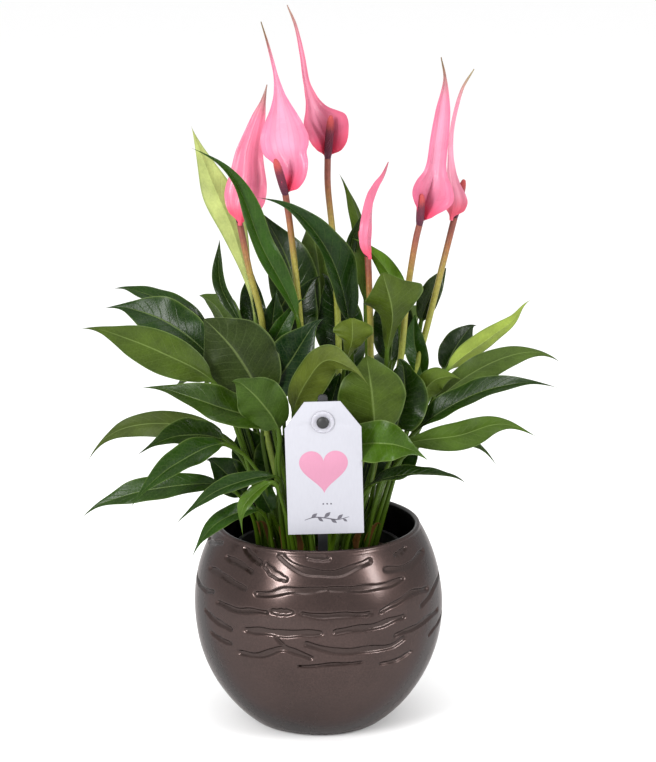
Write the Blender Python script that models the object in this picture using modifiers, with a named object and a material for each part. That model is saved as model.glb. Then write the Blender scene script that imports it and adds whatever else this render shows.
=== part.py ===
"""Potted anthurium: a ball cachepot, a nursery pot with soil, leaves, six flowers and a tag on a stake."""
import math

import bmesh
import bpy
import numpy as np
from mathutils import Vector

MM = 0.001

# Cachepot: a ball cut flat at the foot and at the mouth.
POT_HEIGHT = 130 * MM
POT_RADIUS = 80 * MM
BELLY_SHARE = 0.585
BALL_SHARE = 0.69
POT_WALL = 3.5 * MM
POT_FLOOR = 4 * MM
POT_STEPS = 64

# Nursery pot and the soil in it.
GAP = 0.3 * MM
GROW_TOP_DROP = 17 * MM
GROW_TOP_SHARE = 0.86
GROW_BASE_SHARE = 0.74
GROW_WALL = 1.2 * MM
SOIL_DROP = 23 * MM
GROW_STEPS = 48

# Plant: every row below is in millimetres times this scale, heights from the pot's rim. The rows
# were laid out for soil of this radius, and for a card of this width on a stake this far forwards.
PLANT_SCALE = POT_RADIUS / (80 * MM)
LAYOUT_SOIL_RADIUS = 50.33 * MM
LAYOUT_CARD_WIDTH = 47 * MM
LAYOUT_STAKE_FORWARD = 46.33 * MM
STALK_RADIUS = 1.6 * MM
LEAF_THICKNESS = 0.9 * MM
SPATHE_THICKNESS = 0.8 * MM
STEM_RADIUS = 2.1 * MM
SPADIX_RADIUS = 2.7 * MM

# Tag on its stake.
CARD_WIDTH = 47 * MM
CARD_HEIGHT = 87 * MM
CARD_THICKNESS = 0.6 * MM
CARD_CORNER_WIDTH = 12.5 * MM
CARD_CORNER_HEIGHT = 17 * MM
CARD_LIFT = 30 * MM
CARD_TURN = math.radians(1.6)
STAKE_WIDTH = 6 * MM
STAKE_THICKNESS = 2 * MM
STAKE_ABOVE_CARD = 4 * MM
STAKE_LEAN = math.radians(5.4)
STAKE_ACROSS = 3 * MM
STAKE_INSET = 4 * MM
PEG_DROP = 13 * MM
PEG_RADIUS = 1.6 * MM
PEG_HEAD_RADIUS = 3.8 * MM
PEG_HEAD_HEIGHT = 2.2 * MM
WASHER_RADIUS = 7 * MM
WASHER_THICKNESS = 0.8 * MM

for old in list(bpy.data.objects):
    bpy.data.objects.remove(old)

parts = bpy.data.collections.new("potted_anthurium")
cutters = bpy.data.collections.new("cutters")
bpy.context.scene.collection.children.link(parts)
bpy.context.scene.collection.children.link(cutters)
cutters.hide_render = True


def material(name, colour, roughness, metallic=0.0):
    made = bpy.data.materials.new(name)
    made.use_nodes = True
    made.diffuse_color = (*colour, 1)
    shader = made.node_tree.nodes["Principled BSDF"]
    shader.inputs["Base Color"].default_value = (*colour, 1)
    shader.inputs["Roughness"].default_value = roughness
    shader.inputs["Metallic"].default_value = metallic
    return made


BRONZE = ("bronze_glaze", (0.095, 0.065, 0.055), 0.35, 0.6)
BLACK_PLASTIC = ("black_plastic", (0.012, 0.012, 0.013), 0.45)
SOIL = ("peat", (0.035, 0.02, 0.012), 0.95)
CARD = ("white_card", (0.84, 0.83, 0.88), 0.6)
CLEAR = ("clear_plastic", (0.6, 0.6, 0.62), 0.15)
STEM = ("flower_stem", (0.33, 0.24, 0.06), 0.45)
SPADIX = ("spadix", (0.28, 0.05, 0.07), 0.6)
PINK = ("spathe_pink", (0.92, 0.3, 0.42), 0.4)
LEAF_TOP = ("leaf_dark", (0.035, 0.12, 0.012), 0.35)
LEAF_SOFT = ("leaf_soft", (0.11, 0.2, 0.035), 0.45)
LEAF_PALE = ("leaf_pale", (0.33, 0.45, 0.14), 0.5)


def add_object(name, data, look, where=parts):
    made = bpy.data.objects.new(name, data)
    where.objects.link(made)
    data.materials.append(material(f"{name}_{look[0]}", *look[1:]))
    return made


def mesh_object(name, points, faces, look, where=parts):
    mesh = bpy.data.meshes.new(name)
    mesh.from_pydata([tuple(point) for point in points], [], faces)
    mesh.update()
    return add_object(name, mesh, look, where)


def turned(name, profile, steps, look, where=parts):
    """A closed turned solid: the profile runs from the axis to the axis as (radius, height) pairs."""
    edges = [(i, i + 1) for i in range(len(profile) - 1)]
    mesh = bpy.data.meshes.new(name)
    mesh.from_pydata([(radius, 0, height) for radius, height in profile], edges, [])
    made = add_object(name, mesh, look, where)
    screw = made.modifiers.new("turn", "SCREW")
    screw.steps = screw.render_steps = steps
    screw.use_merge_vertices = True
    screw.merge_threshold = 0.00001
    screw.use_normal_flip = True
    return made


# Cachepot

BELLY_HEIGHT = POT_HEIGHT * BELLY_SHARE
BALL_HEIGHT = POT_HEIGHT * BALL_SHARE


def ball_radius(height, inset=0.0):
    share = (height - BELLY_HEIGHT) / (BALL_HEIGHT - inset)
    return (POT_RADIUS - inset) * math.sqrt(max(0.0, 1 - share * share))


def pot_profile():
    lip = POT_WALL / 2
    top = POT_HEIGHT - lip
    outside = [(0.0, 0.0)]
    foot = ball_radius(0) - 1.5 * MM
    outside += [(foot * 0.6, 0.0), (foot, 0.0)]
    outside += [(ball_radius(h * MM), h * MM) for h in (1.5, 5)]
    rows = 14
    first = 10 * MM
    for i in range(rows + 1):
        height = first + (top - 4 * MM - first) * i / rows
        outside.append((ball_radius(height), height))
    centre = ball_radius(top) - lip
    rim = [
        (centre + lip * math.cos(a), top + lip * math.sin(a))
        for a in (0, math.pi / 4, math.pi / 2, 3 * math.pi / 4, math.pi)
    ]
    inside = []
    low = POT_FLOOR + 6 * MM
    for i in range(9):
        height = top - 5 * MM + (low - top + 5 * MM) * i / 8
        inside.append((ball_radius(height, POT_WALL), height))
    floor = ball_radius(POT_FLOOR, POT_WALL)
    inside += [(floor - 1 * MM, POT_FLOOR + 1.2 * MM), (floor - 3 * MM, POT_FLOOR)]
    inside += [(floor * 0.5, POT_FLOOR), (0.0, POT_FLOOR)]
    return outside + rim + inside


turned("pot", pot_profile(), POT_STEPS, BRONZE)

# Nursery pot and soil

MOUTH_RADIUS = ball_radius(POT_HEIGHT - POT_WALL, POT_WALL)
GROW_BASE = POT_FLOOR + GAP
GROW_TOP = POT_HEIGHT - GROW_TOP_DROP
SOIL_BASE = GROW_BASE + GROW_WALL + GAP
SOIL_TOP = POT_HEIGHT - SOIL_DROP
GROW_TOP_RADIUS = MOUTH_RADIUS * GROW_TOP_SHARE
GROW_BASE_RADIUS = ball_radius(GROW_BASE, POT_WALL) * GROW_BASE_SHARE


def grow_radius(height):
    share = (height - GROW_BASE) / (GROW_TOP - GROW_BASE)
    return GROW_BASE_RADIUS + (GROW_TOP_RADIUS - GROW_BASE_RADIUS) * share


SOIL_EDGE = 1.5 * MM
SOIL_RADIUS = grow_radius(SOIL_TOP - SOIL_EDGE) - GROW_WALL - GAP

turned(
    "grow_pot",
    [
        (0.0, GROW_BASE),
        (grow_radius(GROW_BASE), GROW_BASE),
        (grow_radius(GROW_TOP - 6 * MM), GROW_TOP - 6 * MM),
        (grow_radius(GROW_TOP - 6 * MM) + 1.5 * MM, GROW_TOP - 5 * MM),
        (GROW_TOP_RADIUS + 1.5 * MM, GROW_TOP),
        (GROW_TOP_RADIUS - GROW_WALL, GROW_TOP),
        (grow_radius(GROW_BASE + GROW_WALL) - GROW_WALL, GROW_BASE + GROW_WALL),
        (0.0, GROW_BASE + GROW_WALL),
    ],
    GROW_STEPS,
    BLACK_PLASTIC,
)
turned(
    "soil",
    [
        (0.0, SOIL_BASE),
        (grow_radius(SOIL_BASE) - GROW_WALL - GAP, SOIL_BASE),
        (SOIL_RADIUS, SOIL_TOP - SOIL_EDGE),
        (SOIL_RADIUS - SOIL_EDGE, SOIL_TOP),
        (0.0, SOIL_TOP),
    ],
    GROW_STEPS,
    SOIL,
)

# Tag: built flat in (across, up, out) from the foot of the stake, then leaned forwards.

STAKE_UP = Vector((0, -math.sin(STAKE_LEAN), math.cos(STAKE_LEAN)))
STAKE_OUT = Vector((0, -math.cos(STAKE_LEAN), -math.sin(STAKE_LEAN)))
STAKE_BASE = SOIL_TOP + STAKE_THICKNESS * 0.1 + GAP
STAKE_FOOT = Vector((STAKE_ACROSS, STAKE_INSET - SOIL_RADIUS, STAKE_BASE))
CARD_TOP = CARD_LIFT + CARD_HEIGHT
PEG_UP = CARD_TOP - PEG_DROP
CARD_BACK = STAKE_THICKNESS / 2 + GAP
WASHER_BACK = CARD_BACK + CARD_THICKNESS + GAP
HEAD_BACK = WASHER_BACK + WASHER_THICKNESS + GAP


def lean(made):
    """Puts a piece drawn as X across, Y up, Z out in the stake's place."""
    for point in made.data.vertices:
        across, up, out = point.co
        point.co = STAKE_FOOT + Vector((across, 0, 0)) + STAKE_UP * up + STAKE_OUT * out
    return made


def slab(name, outline, back, front, look, where=parts):
    count = len(outline)
    points = [(x, y, back) for x, y in outline] + [(x, y, front) for x, y in outline]
    faces = [tuple(reversed(range(count))), tuple(range(count, 2 * count))]
    for i in range(count):
        j = (i + 1) % count
        faces.append((i, j, count + j, count + i))
    return mesh_object(name, points, faces, look, where)


def rod(name, profile, place, look, where=cutters, steps=24):
    """A solid turned about the out axis at `place`; the profile is (radius, out) pairs."""
    work = bmesh.new()
    rings = []
    for radius, out in profile:
        ring = []
        for i in range(steps):
            angle = 2 * math.pi * i / steps
            across = place[0] + radius * math.cos(angle)
            up = place[1] + radius * math.sin(angle)
            ring.append(work.verts.new((across, up, out)))
        rings.append(ring)
    for low, high in zip(rings, rings[1:]):
        for i in range(steps):
            work.faces.new((low[i], low[(i + 1) % steps], high[(i + 1) % steps], high[i]))
    work.faces.new(list(reversed(rings[0])))
    work.faces.new(rings[-1])
    bmesh.ops.recalc_face_normals(work, faces=work.faces)
    mesh = bpy.data.meshes.new(name)
    work.to_mesh(mesh)
    work.free()
    return add_object(name, mesh, look, where)


def combine(made, other, operation):
    change = made.modifiers.new(operation.lower(), "BOOLEAN")
    change.operation = operation
    change.solver = "EXACT"
    change.object = other
    other.hide_render = True


def turn_outline(outline):
    """Turns the card's outline a little about its peg, as it hangs."""
    turned_outline = []
    for x, y in outline:
        up = y - PEG_UP
        turned_outline.append((x * math.cos(CARD_TURN) - up * math.sin(CARD_TURN),
                               PEG_UP + x * math.sin(CARD_TURN) + up * math.cos(CARD_TURN)))
    return turned_outline


half = CARD_WIDTH / 2
card_outline = [
    (-half, CARD_LIFT),
    (half, CARD_LIFT),
    (half, CARD_TOP - CARD_CORNER_HEIGHT),
    (half - CARD_CORNER_WIDTH, CARD_TOP),
    (CARD_CORNER_WIDTH - half, CARD_TOP),
    (-half, CARD_TOP - CARD_CORNER_HEIGHT),
]
card = slab("tag_card", turn_outline(card_outline), CARD_BACK, CARD_BACK + CARD_THICKNESS, CARD)
hole = rod(
    "card_hole",
    [(PEG_RADIUS + GAP, CARD_BACK - MM), (PEG_RADIUS + GAP, CARD_BACK + CARD_THICKNESS + MM)],
    (0, PEG_UP),
    CARD,
)
lean(card)
lean(hole)
combine(card, hole, "DIFFERENCE")

stake_top = CARD_TOP + STAKE_ABOVE_CARD
wide = STAKE_WIDTH / 2
stake_outline = [(-wide, 0), (wide, 0), (wide, stake_top - MM), (wide - MM, stake_top),
                 (MM - wide, stake_top), (-wide, stake_top - MM)]
stake = slab("tag_stake", stake_outline, -STAKE_THICKNESS / 2, STAKE_THICKNESS / 2, BLACK_PLASTIC)
peg = rod(
    "peg_body",
    [
        (PEG_RADIUS, -STAKE_THICKNESS / 4),
        (PEG_RADIUS, HEAD_BACK),
        (PEG_HEAD_RADIUS, HEAD_BACK),
        (PEG_HEAD_RADIUS, HEAD_BACK + PEG_HEAD_HEIGHT * 0.6),
        (PEG_HEAD_RADIUS * 0.75, HEAD_BACK + PEG_HEAD_HEIGHT),
    ],
    (0, PEG_UP),
    BLACK_PLASTIC,
)
lean(stake)
lean(peg)
combine(stake, peg, "UNION")

washer_inner = PEG_RADIUS + GAP
washer_outline = [
    (washer_inner, WASHER_BACK),
    (WASHER_RADIUS, WASHER_BACK),
    (WASHER_RADIUS, WASHER_BACK + WASHER_THICKNESS),
    (washer_inner, WASHER_BACK + WASHER_THICKNESS),
]


def ring_piece(name, corners, place, look, steps=32):
    points = []
    faces = []
    count = len(corners)
    for i in range(steps):
        a = 2 * math.pi * i / steps
        points += [(place[0] + r * math.cos(a), place[1] + r * math.sin(a), out) for r, out in corners]
        for j in range(count):
            k = (j + 1) % count
            n = (i + 1) % steps
            faces.append((i * count + j, n * count + j, n * count + k, i * count + k))
    return mesh_object(name, points, faces, look)


washer = lean(ring_piece("tag_washer", washer_outline, (0, PEG_UP), CLEAR))

# Plant

RING = 8
STALK_ROWS = 5
BLADE_ROWS = 9


def plant_point(point):
    """A plant point from millimetres, its height counted from the rim."""
    x, y, z = point
    return np.array((x * MM * PLANT_SCALE, y * MM * PLANT_SCALE, POT_HEIGHT + z * MM * PLANT_SCALE))


def foot_point(place):
    """Where a stalk stands on the soil, a gap above it."""
    scale = MM * SOIL_RADIUS / LAYOUT_SOIL_RADIUS
    return np.array((place[0] * scale, place[1] * scale, SOIL_TOP + GAP))


def unit(vector):
    return np.asarray(vector, float) / (np.linalg.norm(vector) + 1e-12)


def smooth_line(points, steps=30):
    """A smooth line through the points, and the share of its length at which each point lies."""
    p = np.asarray(points, float)
    p = np.vstack([2 * p[0] - p[1], p, 2 * p[-1] - p[-2]])
    knots = np.concatenate([[0], np.cumsum(np.sqrt(np.linalg.norm(np.diff(p, axis=0), axis=1)))])
    rows = []
    for i in range(1, len(p) - 2):
        t = np.linspace(knots[i], knots[i + 1], steps, endpoint=False)[:, None]

        def mix(left, right, low, high):
            return (knots[high] - t) / (knots[high] - knots[low]) * left + (t - knots[low]) / (
                knots[high] - knots[low]) * right

        first = mix(p[i - 1], p[i], i - 1, i)
        second = mix(p[i], p[i + 1], i, i + 1)
        third = mix(p[i + 1], p[i + 2], i + 1, i + 2)
        rows.append(mix(mix(first, second, i - 1, i + 1), mix(second, third, i, i + 2), i, i + 1))
    line = np.vstack(rows + [p[-2][None]])
    length = np.concatenate([[0], np.cumsum(np.linalg.norm(np.diff(line, axis=0), axis=1))])
    marks = [length[i * steps] / length[-1] for i in range(len(points))]
    return line, length / length[-1], marks


def along(line, shares, wanted):
    return np.stack([np.interp(wanted, shares, line[:, axis]) for axis in range(3)], axis=1)


def width_share(t, peak, taper):
    """Width of a blade at share t of its length, 1 at its widest place `peak`."""
    rise = taper * peak / (1 - peak)
    shape = lambda x: max(x, 0.0) ** rise * max(1 - x, 0.0) ** taper
    return shape(t) / shape(peak)


def blade_solid(name, stalk, blade, half_width, face, look, peak=0.4, taper=1.25, fold=20, twist=0,
                lobe=0.0, thickness=LEAF_THICKNESS, stalk_radius=STALK_RADIUS,
                stalk_rows=STALK_ROWS, blade_rows=BLADE_ROWS):
    """One closed loft: a round stalk that widens into a thin, folded blade. Its top looks to `face`."""
    line, shares, marks = smooth_line(list(stalk) + list(blade))
    start = marks[len(stalk)]
    spots = np.concatenate([np.linspace(0, start, stalk_rows, endpoint=False),
                            start + (1 - start) * np.linspace(0, 1, blade_rows + 1)])
    rows = along(line, shares, spots)
    course = np.gradient(rows, axis=0)
    course /= np.linalg.norm(course, axis=1)[:, None]
    if stalk_rows > 1:
        course[0] = (0, 0, 1)
    tops = np.zeros_like(rows)
    middle = stalk_rows + int(blade_rows * 0.45)
    for order in (range(middle, len(rows)), range(middle, -1, -1)):
        top = np.asarray(face, float)
        for i in order:
            top = unit(top - (top @ course[i]) * course[i])
            tops[i] = top
    points = []
    for i, centre in enumerate(rows):
        t = max(0.0, (i - stalk_rows) / blade_rows)
        turn = math.radians(twist) * (t - 0.45)
        side = np.cross(course[i], tops[i])
        top = tops[i] * math.cos(turn) + side * math.sin(turn)
        side = np.cross(course[i], top)
        width = half_width * width_share(t, peak, taper)
        blend = min(1.0, t / 0.1)
        blend = blend * blend * (3 - 2 * blend)
        thin = 1.0 if t < 0.9 else max(0.35, (1 - t) / 0.1)
        thick_middle = stalk_radius * 0.55 * (1 - t) + thickness * 0.45
        thick_edge = thickness * 0.4
        for j in range(RING):
            angle = math.pi - 2 * math.pi * j / RING
            round_point = side * math.cos(angle) * stalk_radius + top * math.sin(angle) * stalk_radius
            over = j <= RING // 2
            across = -1 + 4 * j / RING if over else 3 - 4 * j / RING
            reach = abs(across) * width
            rise = reach * math.sin(math.radians(fold))
            half_thick = (thick_middle + (thick_edge - thick_middle) * abs(across) ** 0.7) * thin
            if abs(across) > 0.999:
                half_thick = 0.0
            back = -lobe * reach * max(0.0, 1 - t / 0.45) ** 1.5
            blade_point = (side * math.copysign(reach * math.cos(math.radians(fold)), across)
                           + top * (rise + (half_thick if over else -half_thick)) + course[i] * back)
            points.append(centre + round_point * (1 - blend) + blade_point * blend)
    faces = []
    count = len(rows)
    for i in range(count - 1):
        for j in range(RING):
            k = (j + 1) % RING
            faces.append((i * RING + j, i * RING + k, (i + 1) * RING + k, (i + 1) * RING + j))
    faces.append(tuple(reversed(range(RING))))
    faces.append(tuple(range((count - 1) * RING, count * RING)))
    return mesh_object(name, points, faces, look)


def leaf(name, foot, stalk, blade, half_width, face, look=LEAF_TOP, shift=(0, 0, 0), **shape):
    blade_solid(
        f"leaf_{name}",
        [foot_point(foot)] + [plant_point(point) + shift for point in stalk],
        [plant_point(point) + shift for point in blade],
        half_width * MM * PLANT_SCALE,
        face,
        look,
        **shape,
    )


def tube(name, points, radii, look, start, steps=10):
    """A round bar along a smooth line, its radius given at even steps. It leaves square to `start`."""
    line, shares, _ = smooth_line(points)
    spots = along(line, shares, np.linspace(0, 1, steps))
    spots = np.vstack([spots[:1], spots[:1] + unit(start) * 1.2 * MM, spots[1:]])
    steps += 1
    curve = bpy.data.curves.new(name, "CURVE")
    curve.dimensions = "3D"
    curve.bevel_depth = max(radii)
    curve.bevel_resolution = 2
    curve.use_fill_caps = True
    spline = curve.splines.new("POLY")
    spline.points.add(steps - 1)
    for i, spot in enumerate(spots):
        spline.points[i].co = (*spot, 1)
        share = np.interp(i / (steps - 1), np.linspace(0, 1, len(radii)), radii)
        spline.points[i].radius = share / max(radii)
    return add_object(name, curve, look)


# Leaves at the left

leaf("left_pale", (-14, 12), [(-36, 9, 77)],
     [(-39, 9, 126), (-52, 15, 182), (-67, 24, 216), (-82, 34, 253)],
     9.5, (0.2, 1, -0.3), LEAF_PALE, peak=0.6, taper=1.6, fold=18)
leaf("left_tall", (-8, -2), [(-14, -3, 80)],
     [(-12, -6, 130), (-35, -14, 182), (-51, -18, 223), (-75, -22, 248)],
     8, (0.5, -1, 0.5), peak=0.42, fold=30)
leaf("left_narrow", (-24, 16), [(-42, 15, 63)], [(-49, 15, 123), (-62, 25, 149), (-63, 36, 180)],
     4.6, (-0.3, -1, 0.2), peak=0.45, fold=24)
leaf("left_high_thin", (-24, 6), [(-47, 8, 64)], [(-67, 12, 117), (-98, 28, 137), (-134, 48, 145)],
     7.5, (0.1, -0.8, 0.9), peak=0.42)
leaf("left_high_broad", (-28, 2), [(-50, 0, 60)], [(-66, -2, 105), (-95, 8, 128), (-134, 24, 138)],
     14, (0.1, -1, 0.6), peak=0.42, fold=16)
leaf("left_long", (-28, -14), [(-49, -26, 61)], [(-64, -34, 99), (-97, -42, 121), (-144, -52, 142)],
     12, (0, 1, -0.3), LEAF_SOFT, peak=0.4, taper=1.5, fold=12, lobe=0.2)
leaf("left_big", (-20, -8), [(-35, -18, 58)], [(-35, -23, 84), (-51, -27, 117), (-73, -24, 141)],
     22, (0, 1, -0.2), LEAF_SOFT, peak=0.45, taper=0.8, fold=10, lobe=0.35)
leaf("left_mid_dark", (-20, -24), [(-26, -33, 46)], [(-25, -38, 70), (-63, -54, 90), (-104, -74, 110)],
     11.5, (0, -1, 0.8), peak=0.42, fold=18)
leaf("left_mid_soft", (-10, -27), [(-24, -39, 45)], [(-24, -46, 72), (-36, -58, 95), (-52, -68, 113)],
     14, (0.1, 1, -0.3), LEAF_SOFT, peak=0.45, taper=0.9, fold=12, lobe=0.35)
leaf("left_arching", (-36, -2), [(-42, -5, 31)],
     [(-59, -6, 57), (-94, 0, 64), (-126, 8, 58), (-151, 14, 38)],
     8.5, (0, 1, -0.4), LEAF_SOFT, peak=0.36, taper=1.6, fold=18)
leaf("left_folded", (-33, -7), [(-41, -12, 29)], [(-58, -17, 57), (-86, -25, 63), (-111, -34, 56)],
     10, (0, -0.8, 0.8), peak=0.36, fold=26)
leaf("left_drooping", (-29, -19), [(-35, -26, 35)], [(-57, -31, 59), (-88, -48, 51), (-115, -66, 32)],
     8.8, (0, -0.9, 0.8), peak=0.38)
leaf("left_low_long", (-36, -12), [(-43, -16, 11)], [(-58, -22, 29), (-106, -22, 27), (-152, -16, 11)],
     8.5, (0, -0.9, 0.8), peak=0.42, fold=14)
leaf("left_low_thin", (-16, -31), [(-22, -40, 26)], [(-25, -46, 42), (-59, -60, 39), (-86, -74, 23)],
     5.5, (0, -0.8, 0.8), peak=0.4, fold=18, stalk_radius=1.3 * MM)
leaf("left_over_rim", (-26, -26), [], [(-36, -38, 18), (-61, -54, 16), (-78, -68, 0)],
     6, (0, -0.8, 0.8), peak=0.4, fold=18, stalk_radius=1.3 * MM)

# Leaves in the middle. The front one comes out from behind the card, so it moves with the card's
# edge, and the upright one behind it moves back with the stake.

CARD_SHIFT = np.array((CARD_WIDTH / 2 - LAYOUT_CARD_WIDTH / 2 * PLANT_SCALE,
                       STAKE_FOOT.y + LAYOUT_STAKE_FORWARD * PLANT_SCALE, 0))
BACK_SHIFT = CARD_SHIFT * (0, 1, 0)

leaf("mid_tall_dark", (-2, 22), [(-12, 24, 67)], [(-12, 25, 114), (-18, 34, 158), (-37, 44, 195)],
     15, (0.1, -1, 0.2), peak=0.38, taper=1.1, fold=14, lobe=0.35)
leaf("mid_crossing", (8, 8), [(21, 6, 65)], [(20, 8, 123), (9, 0, 169), (-11, -12, 200), (-35, -20, 217)],
     12, (0.6, -1, 0.6), peak=0.36, taper=1.5, fold=28, twist=-20, lobe=0.35)
leaf("mid_needle", (16, 14), [(30, 16, 76)], [(30, 18, 137), (27, 27, 183), (13, 36, 222)],
     6, (-0.7, 1, -0.1), LEAF_SOFT, peak=0.4)
leaf("mid_trumpet", (16, -10), [(41, -14, 70)], [(43, -16, 115), (46, -22, 140), (40, -22, 166)],
     20, (0, 1, -0.15), LEAF_SOFT, peak=0.66, taper=0.8, fold=38)
leaf("mid_small_trumpet", (6, -14), [(13, -24, 79)], [(17, -25, 110), (21, -29, 125), (21, -29, 139)],
     12.5, (0, 1, -0.15), LEAF_SOFT, peak=0.62, taper=0.7, fold=36, stalk_radius=1.3 * MM)
leaf("mid_bright", (20, 14), [(48, 14, 76)], [(52, 15, 128), (45, 18, 157), (21, 19, 184)],
     6.5, (0.6, 1, -0.6), LEAF_SOFT, peak=0.4, fold=24)
leaf("mid_glossy", (-8, -10), [(-27, -12, 57)], [(-30, -13, 84), (-14, -17, 114), (2, -18, 140)],
     15, (-0.2, -1, 0.3), peak=0.4, lobe=0.35)
leaf("mid_bent", (-2, -25), [(-12, -33, 56)],
     [(-15, -36, 80), (-6, -41, 103), (6, -47, 117), (33, -64, 109)],
     14, (0.2, 1, -0.2), LEAF_SOFT, peak=0.36, taper=1.6, lobe=0.35)
leaf("mid_upright", (16, -18), [(34, -32, 43)], [(35, -36, 67), (33, -42, 96), (29, -46, 124)],
     20, (-0.05, 1, 0), LEAF_SOFT, BACK_SHIFT, peak=0.42, taper=1.0, fold=12, lobe=0.35)
leaf("mid_front_bright", (5, -31), [(16, -42, 33)], [(20, -42, 59), (43, -51, 65), (66, -70, 63)],
     13.5, (0, -1, 0.5), LEAF_SOFT, CARD_SHIFT, peak=0.34, fold=22, lobe=0.35)

# Leaves at the right

leaf("right_dark", (24, -8), [(45, -16, 45)], [(49, -18, 65), (54, -20, 90), (52, -22, 115)],
     14.5, (-0.1, -1, 0.2), peak=0.4, taper=0.9, fold=14, lobe=0.35)
leaf("right_back_dark", (23, 19), [(68, 19, 62)], [(80, 21, 93), (89, 31, 108), (102, 44, 122)],
     9, (-0.2, -1, 0.3), peak=0.4, fold=16, lobe=0.35)
leaf("right_pale", (29, 7), [(64, 9, 64)], [(81, 9, 96), (109, 15, 117), (125, 22, 128), (134, 28, 143)],
     6.5, (-0.3, 1, -0.2), LEAF_PALE, peak=0.36, fold=24)
leaf("right_long", (34, 3), [(55, -1, 47)], [(72, -3, 77), (102, 0, 100), (131, 6, 109), (157, 14, 104)],
     9, (-0.1, 1, -0.5), LEAF_SOFT, peak=0.36, taper=1.6)
leaf("right_folded", (30, -4), [(49, -10, 40)],
     [(61, -15, 63), (93, -26, 88), (120, -36, 99), (148, -44, 102)],
     9.5, (0.1, -0.8, 1), peak=0.36, taper=1.6, fold=26)
leaf("right_wide_low", (28, -12), [(40, -20, 33)],
     [(52, -26, 56), (88, -42, 68), (111, -53, 78), (132, -60, 76)],
     8.5, (0, 1, -0.4), LEAF_SOFT, peak=0.45, fold=16)
leaf("right_low_dark", (13, -29), [(25, -34, 19)], [(32, -37, 34), (57, -52, 46), (93, -70, 49)],
     6.5, (0.1, -0.5, 1), peak=0.3, fold=22)

# Leaves at the back

leaf("back_middle", (10, 30), [(12, 36, 40)], [(14, 52, 70), (20, 78, 95), (24, 112, 80)],
     15, (0, 0.5, 1), peak=0.4, fold=16, lobe=0.35)
leaf("back_left", (-8, 30), [(-14, 38, 45)], [(-22, 48, 85), (-38, 72, 112), (-52, 98, 106)],
     15, (-0.3, 0.5, 1), peak=0.4, fold=16, lobe=0.35)
leaf("back_right", (24, 26), [(36, 34, 30)], [(48, 44, 58), (70, 64, 76), (92, 86, 66)],
     13, (0.3, 0.5, 1), peak=0.4, fold=16, lobe=0.35)
leaf("back_far_left", (-26, 24), [(-36, 32, 30)], [(-46, 42, 62), (-72, 62, 80), (-100, 82, 66)],
     14, (-0.3, 0.4, 1), peak=0.4, fold=16, lobe=0.35)


# Flowers: a stem, the pink spathe behind its tip and the spadix standing on it.


def flower(name, foot, stem, spathe, spadix, half_width, face, **shape):
    top = plant_point(stem[-1])
    course = [foot_point(foot)] + [plant_point(point) for point in stem]
    tube(f"{name}_stem", course, [STEM_RADIUS], STEM, (0, 0, 1))
    look_out = unit(face)
    upward = unit(top - plant_point(stem[-2]))
    root = top + upward * GAP
    tube(f"{name}_spadix", [root, (root + plant_point(spadix)) / 2, plant_point(spadix)],
         [SPADIX_RADIUS * share for share in (0.75, 1, 1, 0.9, 0.45)], SPADIX, upward, steps=5)
    collar = top - look_out * (STEM_RADIUS + 1.8 * MM + GAP) - np.array((0, 0, MM))
    blade = [collar + np.array((0, 0, MM))] + [plant_point(point) for point in spathe]
    blade_solid(f"{name}_spathe", [collar], blade, half_width * MM * PLANT_SCALE, face, PINK,
                thickness=SPATHE_THICKNESS, stalk_radius=1.2 * MM, stalk_rows=1, blade_rows=11, **shape)


flower("flower_left", (-14, 4), [(-36, 1, 79), (-35, 2, 128), (-43, 5, 162), (-49, 8, 192)],
       [(-45, 6, 222), (-39, 13, 252), (-32, 18, 277)], (-51, 16, 214), 13, (-0.1, 1, 0),
       peak=0.3, taper=1.2, fold=20, lobe=0.3)
flower("flower_centre", (-4, 0), [(-10, 0, 80), (-11, -1, 126), (-17, -4, 190), (-20, -6, 212)],
       [(-17, 0, 240), (-23, -1, 273), (-30, -6, 304), (-34, -12, 318)], (-26, -14, 235), 15, (0, -1, 0),
       peak=0.27, taper=2.2, fold=24, lobe=0.3)
flower("flower_rear", (4, 16), [(13, 18, 75), (10, 23, 172), (6, 27, 213), (6, 28, 229)],
       [(2, 34, 248), (-8, 38, 277), (-11, 40, 301), (-19, 40, 324)], (8, 20, 257), 15, (0.2, -1, 0),
       peak=0.2, taper=2.6, fold=26, lobe=0.3)
flower("flower_bud", (10, 0), [(33, 0, 67), (33, 0, 112), (32, -2, 152), (31, -4, 173)],
       [(33, -6, 193), (37, -8, 215), (43, -12, 233)], (26, 0, 188), 8, (-0.8, 0.8, 0),
       peak=0.32, taper=1.2, fold=40, lobe=0.3)
flower("flower_right", (20, 6), [(50, 4, 92), (56, 3, 149), (61, 1, 183), (63, 0, 192)],
       [(68, 6, 213), (76, 6, 247), (79, 2, 276), (75, -4, 297)], (64, -7, 212), 14, (0.1, -1, 0),
       peak=0.17, taper=2.6, fold=24, lobe=0.3)
flower("flower_far_right", (29, 13), [(60, 14, 89), (68, 17, 119), (74, 20, 143), (86, 25, 192)],
       [(84, 24, 213), (83, 30, 244), (88, 32, 269), (97, 32, 285)], (92, 31, 215), 11, (0.6, 1, 0),
       peak=0.17, taper=2.4, fold=24, lobe=0.3)

print("nodes", len(parts.objects))
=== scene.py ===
import math

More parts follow.
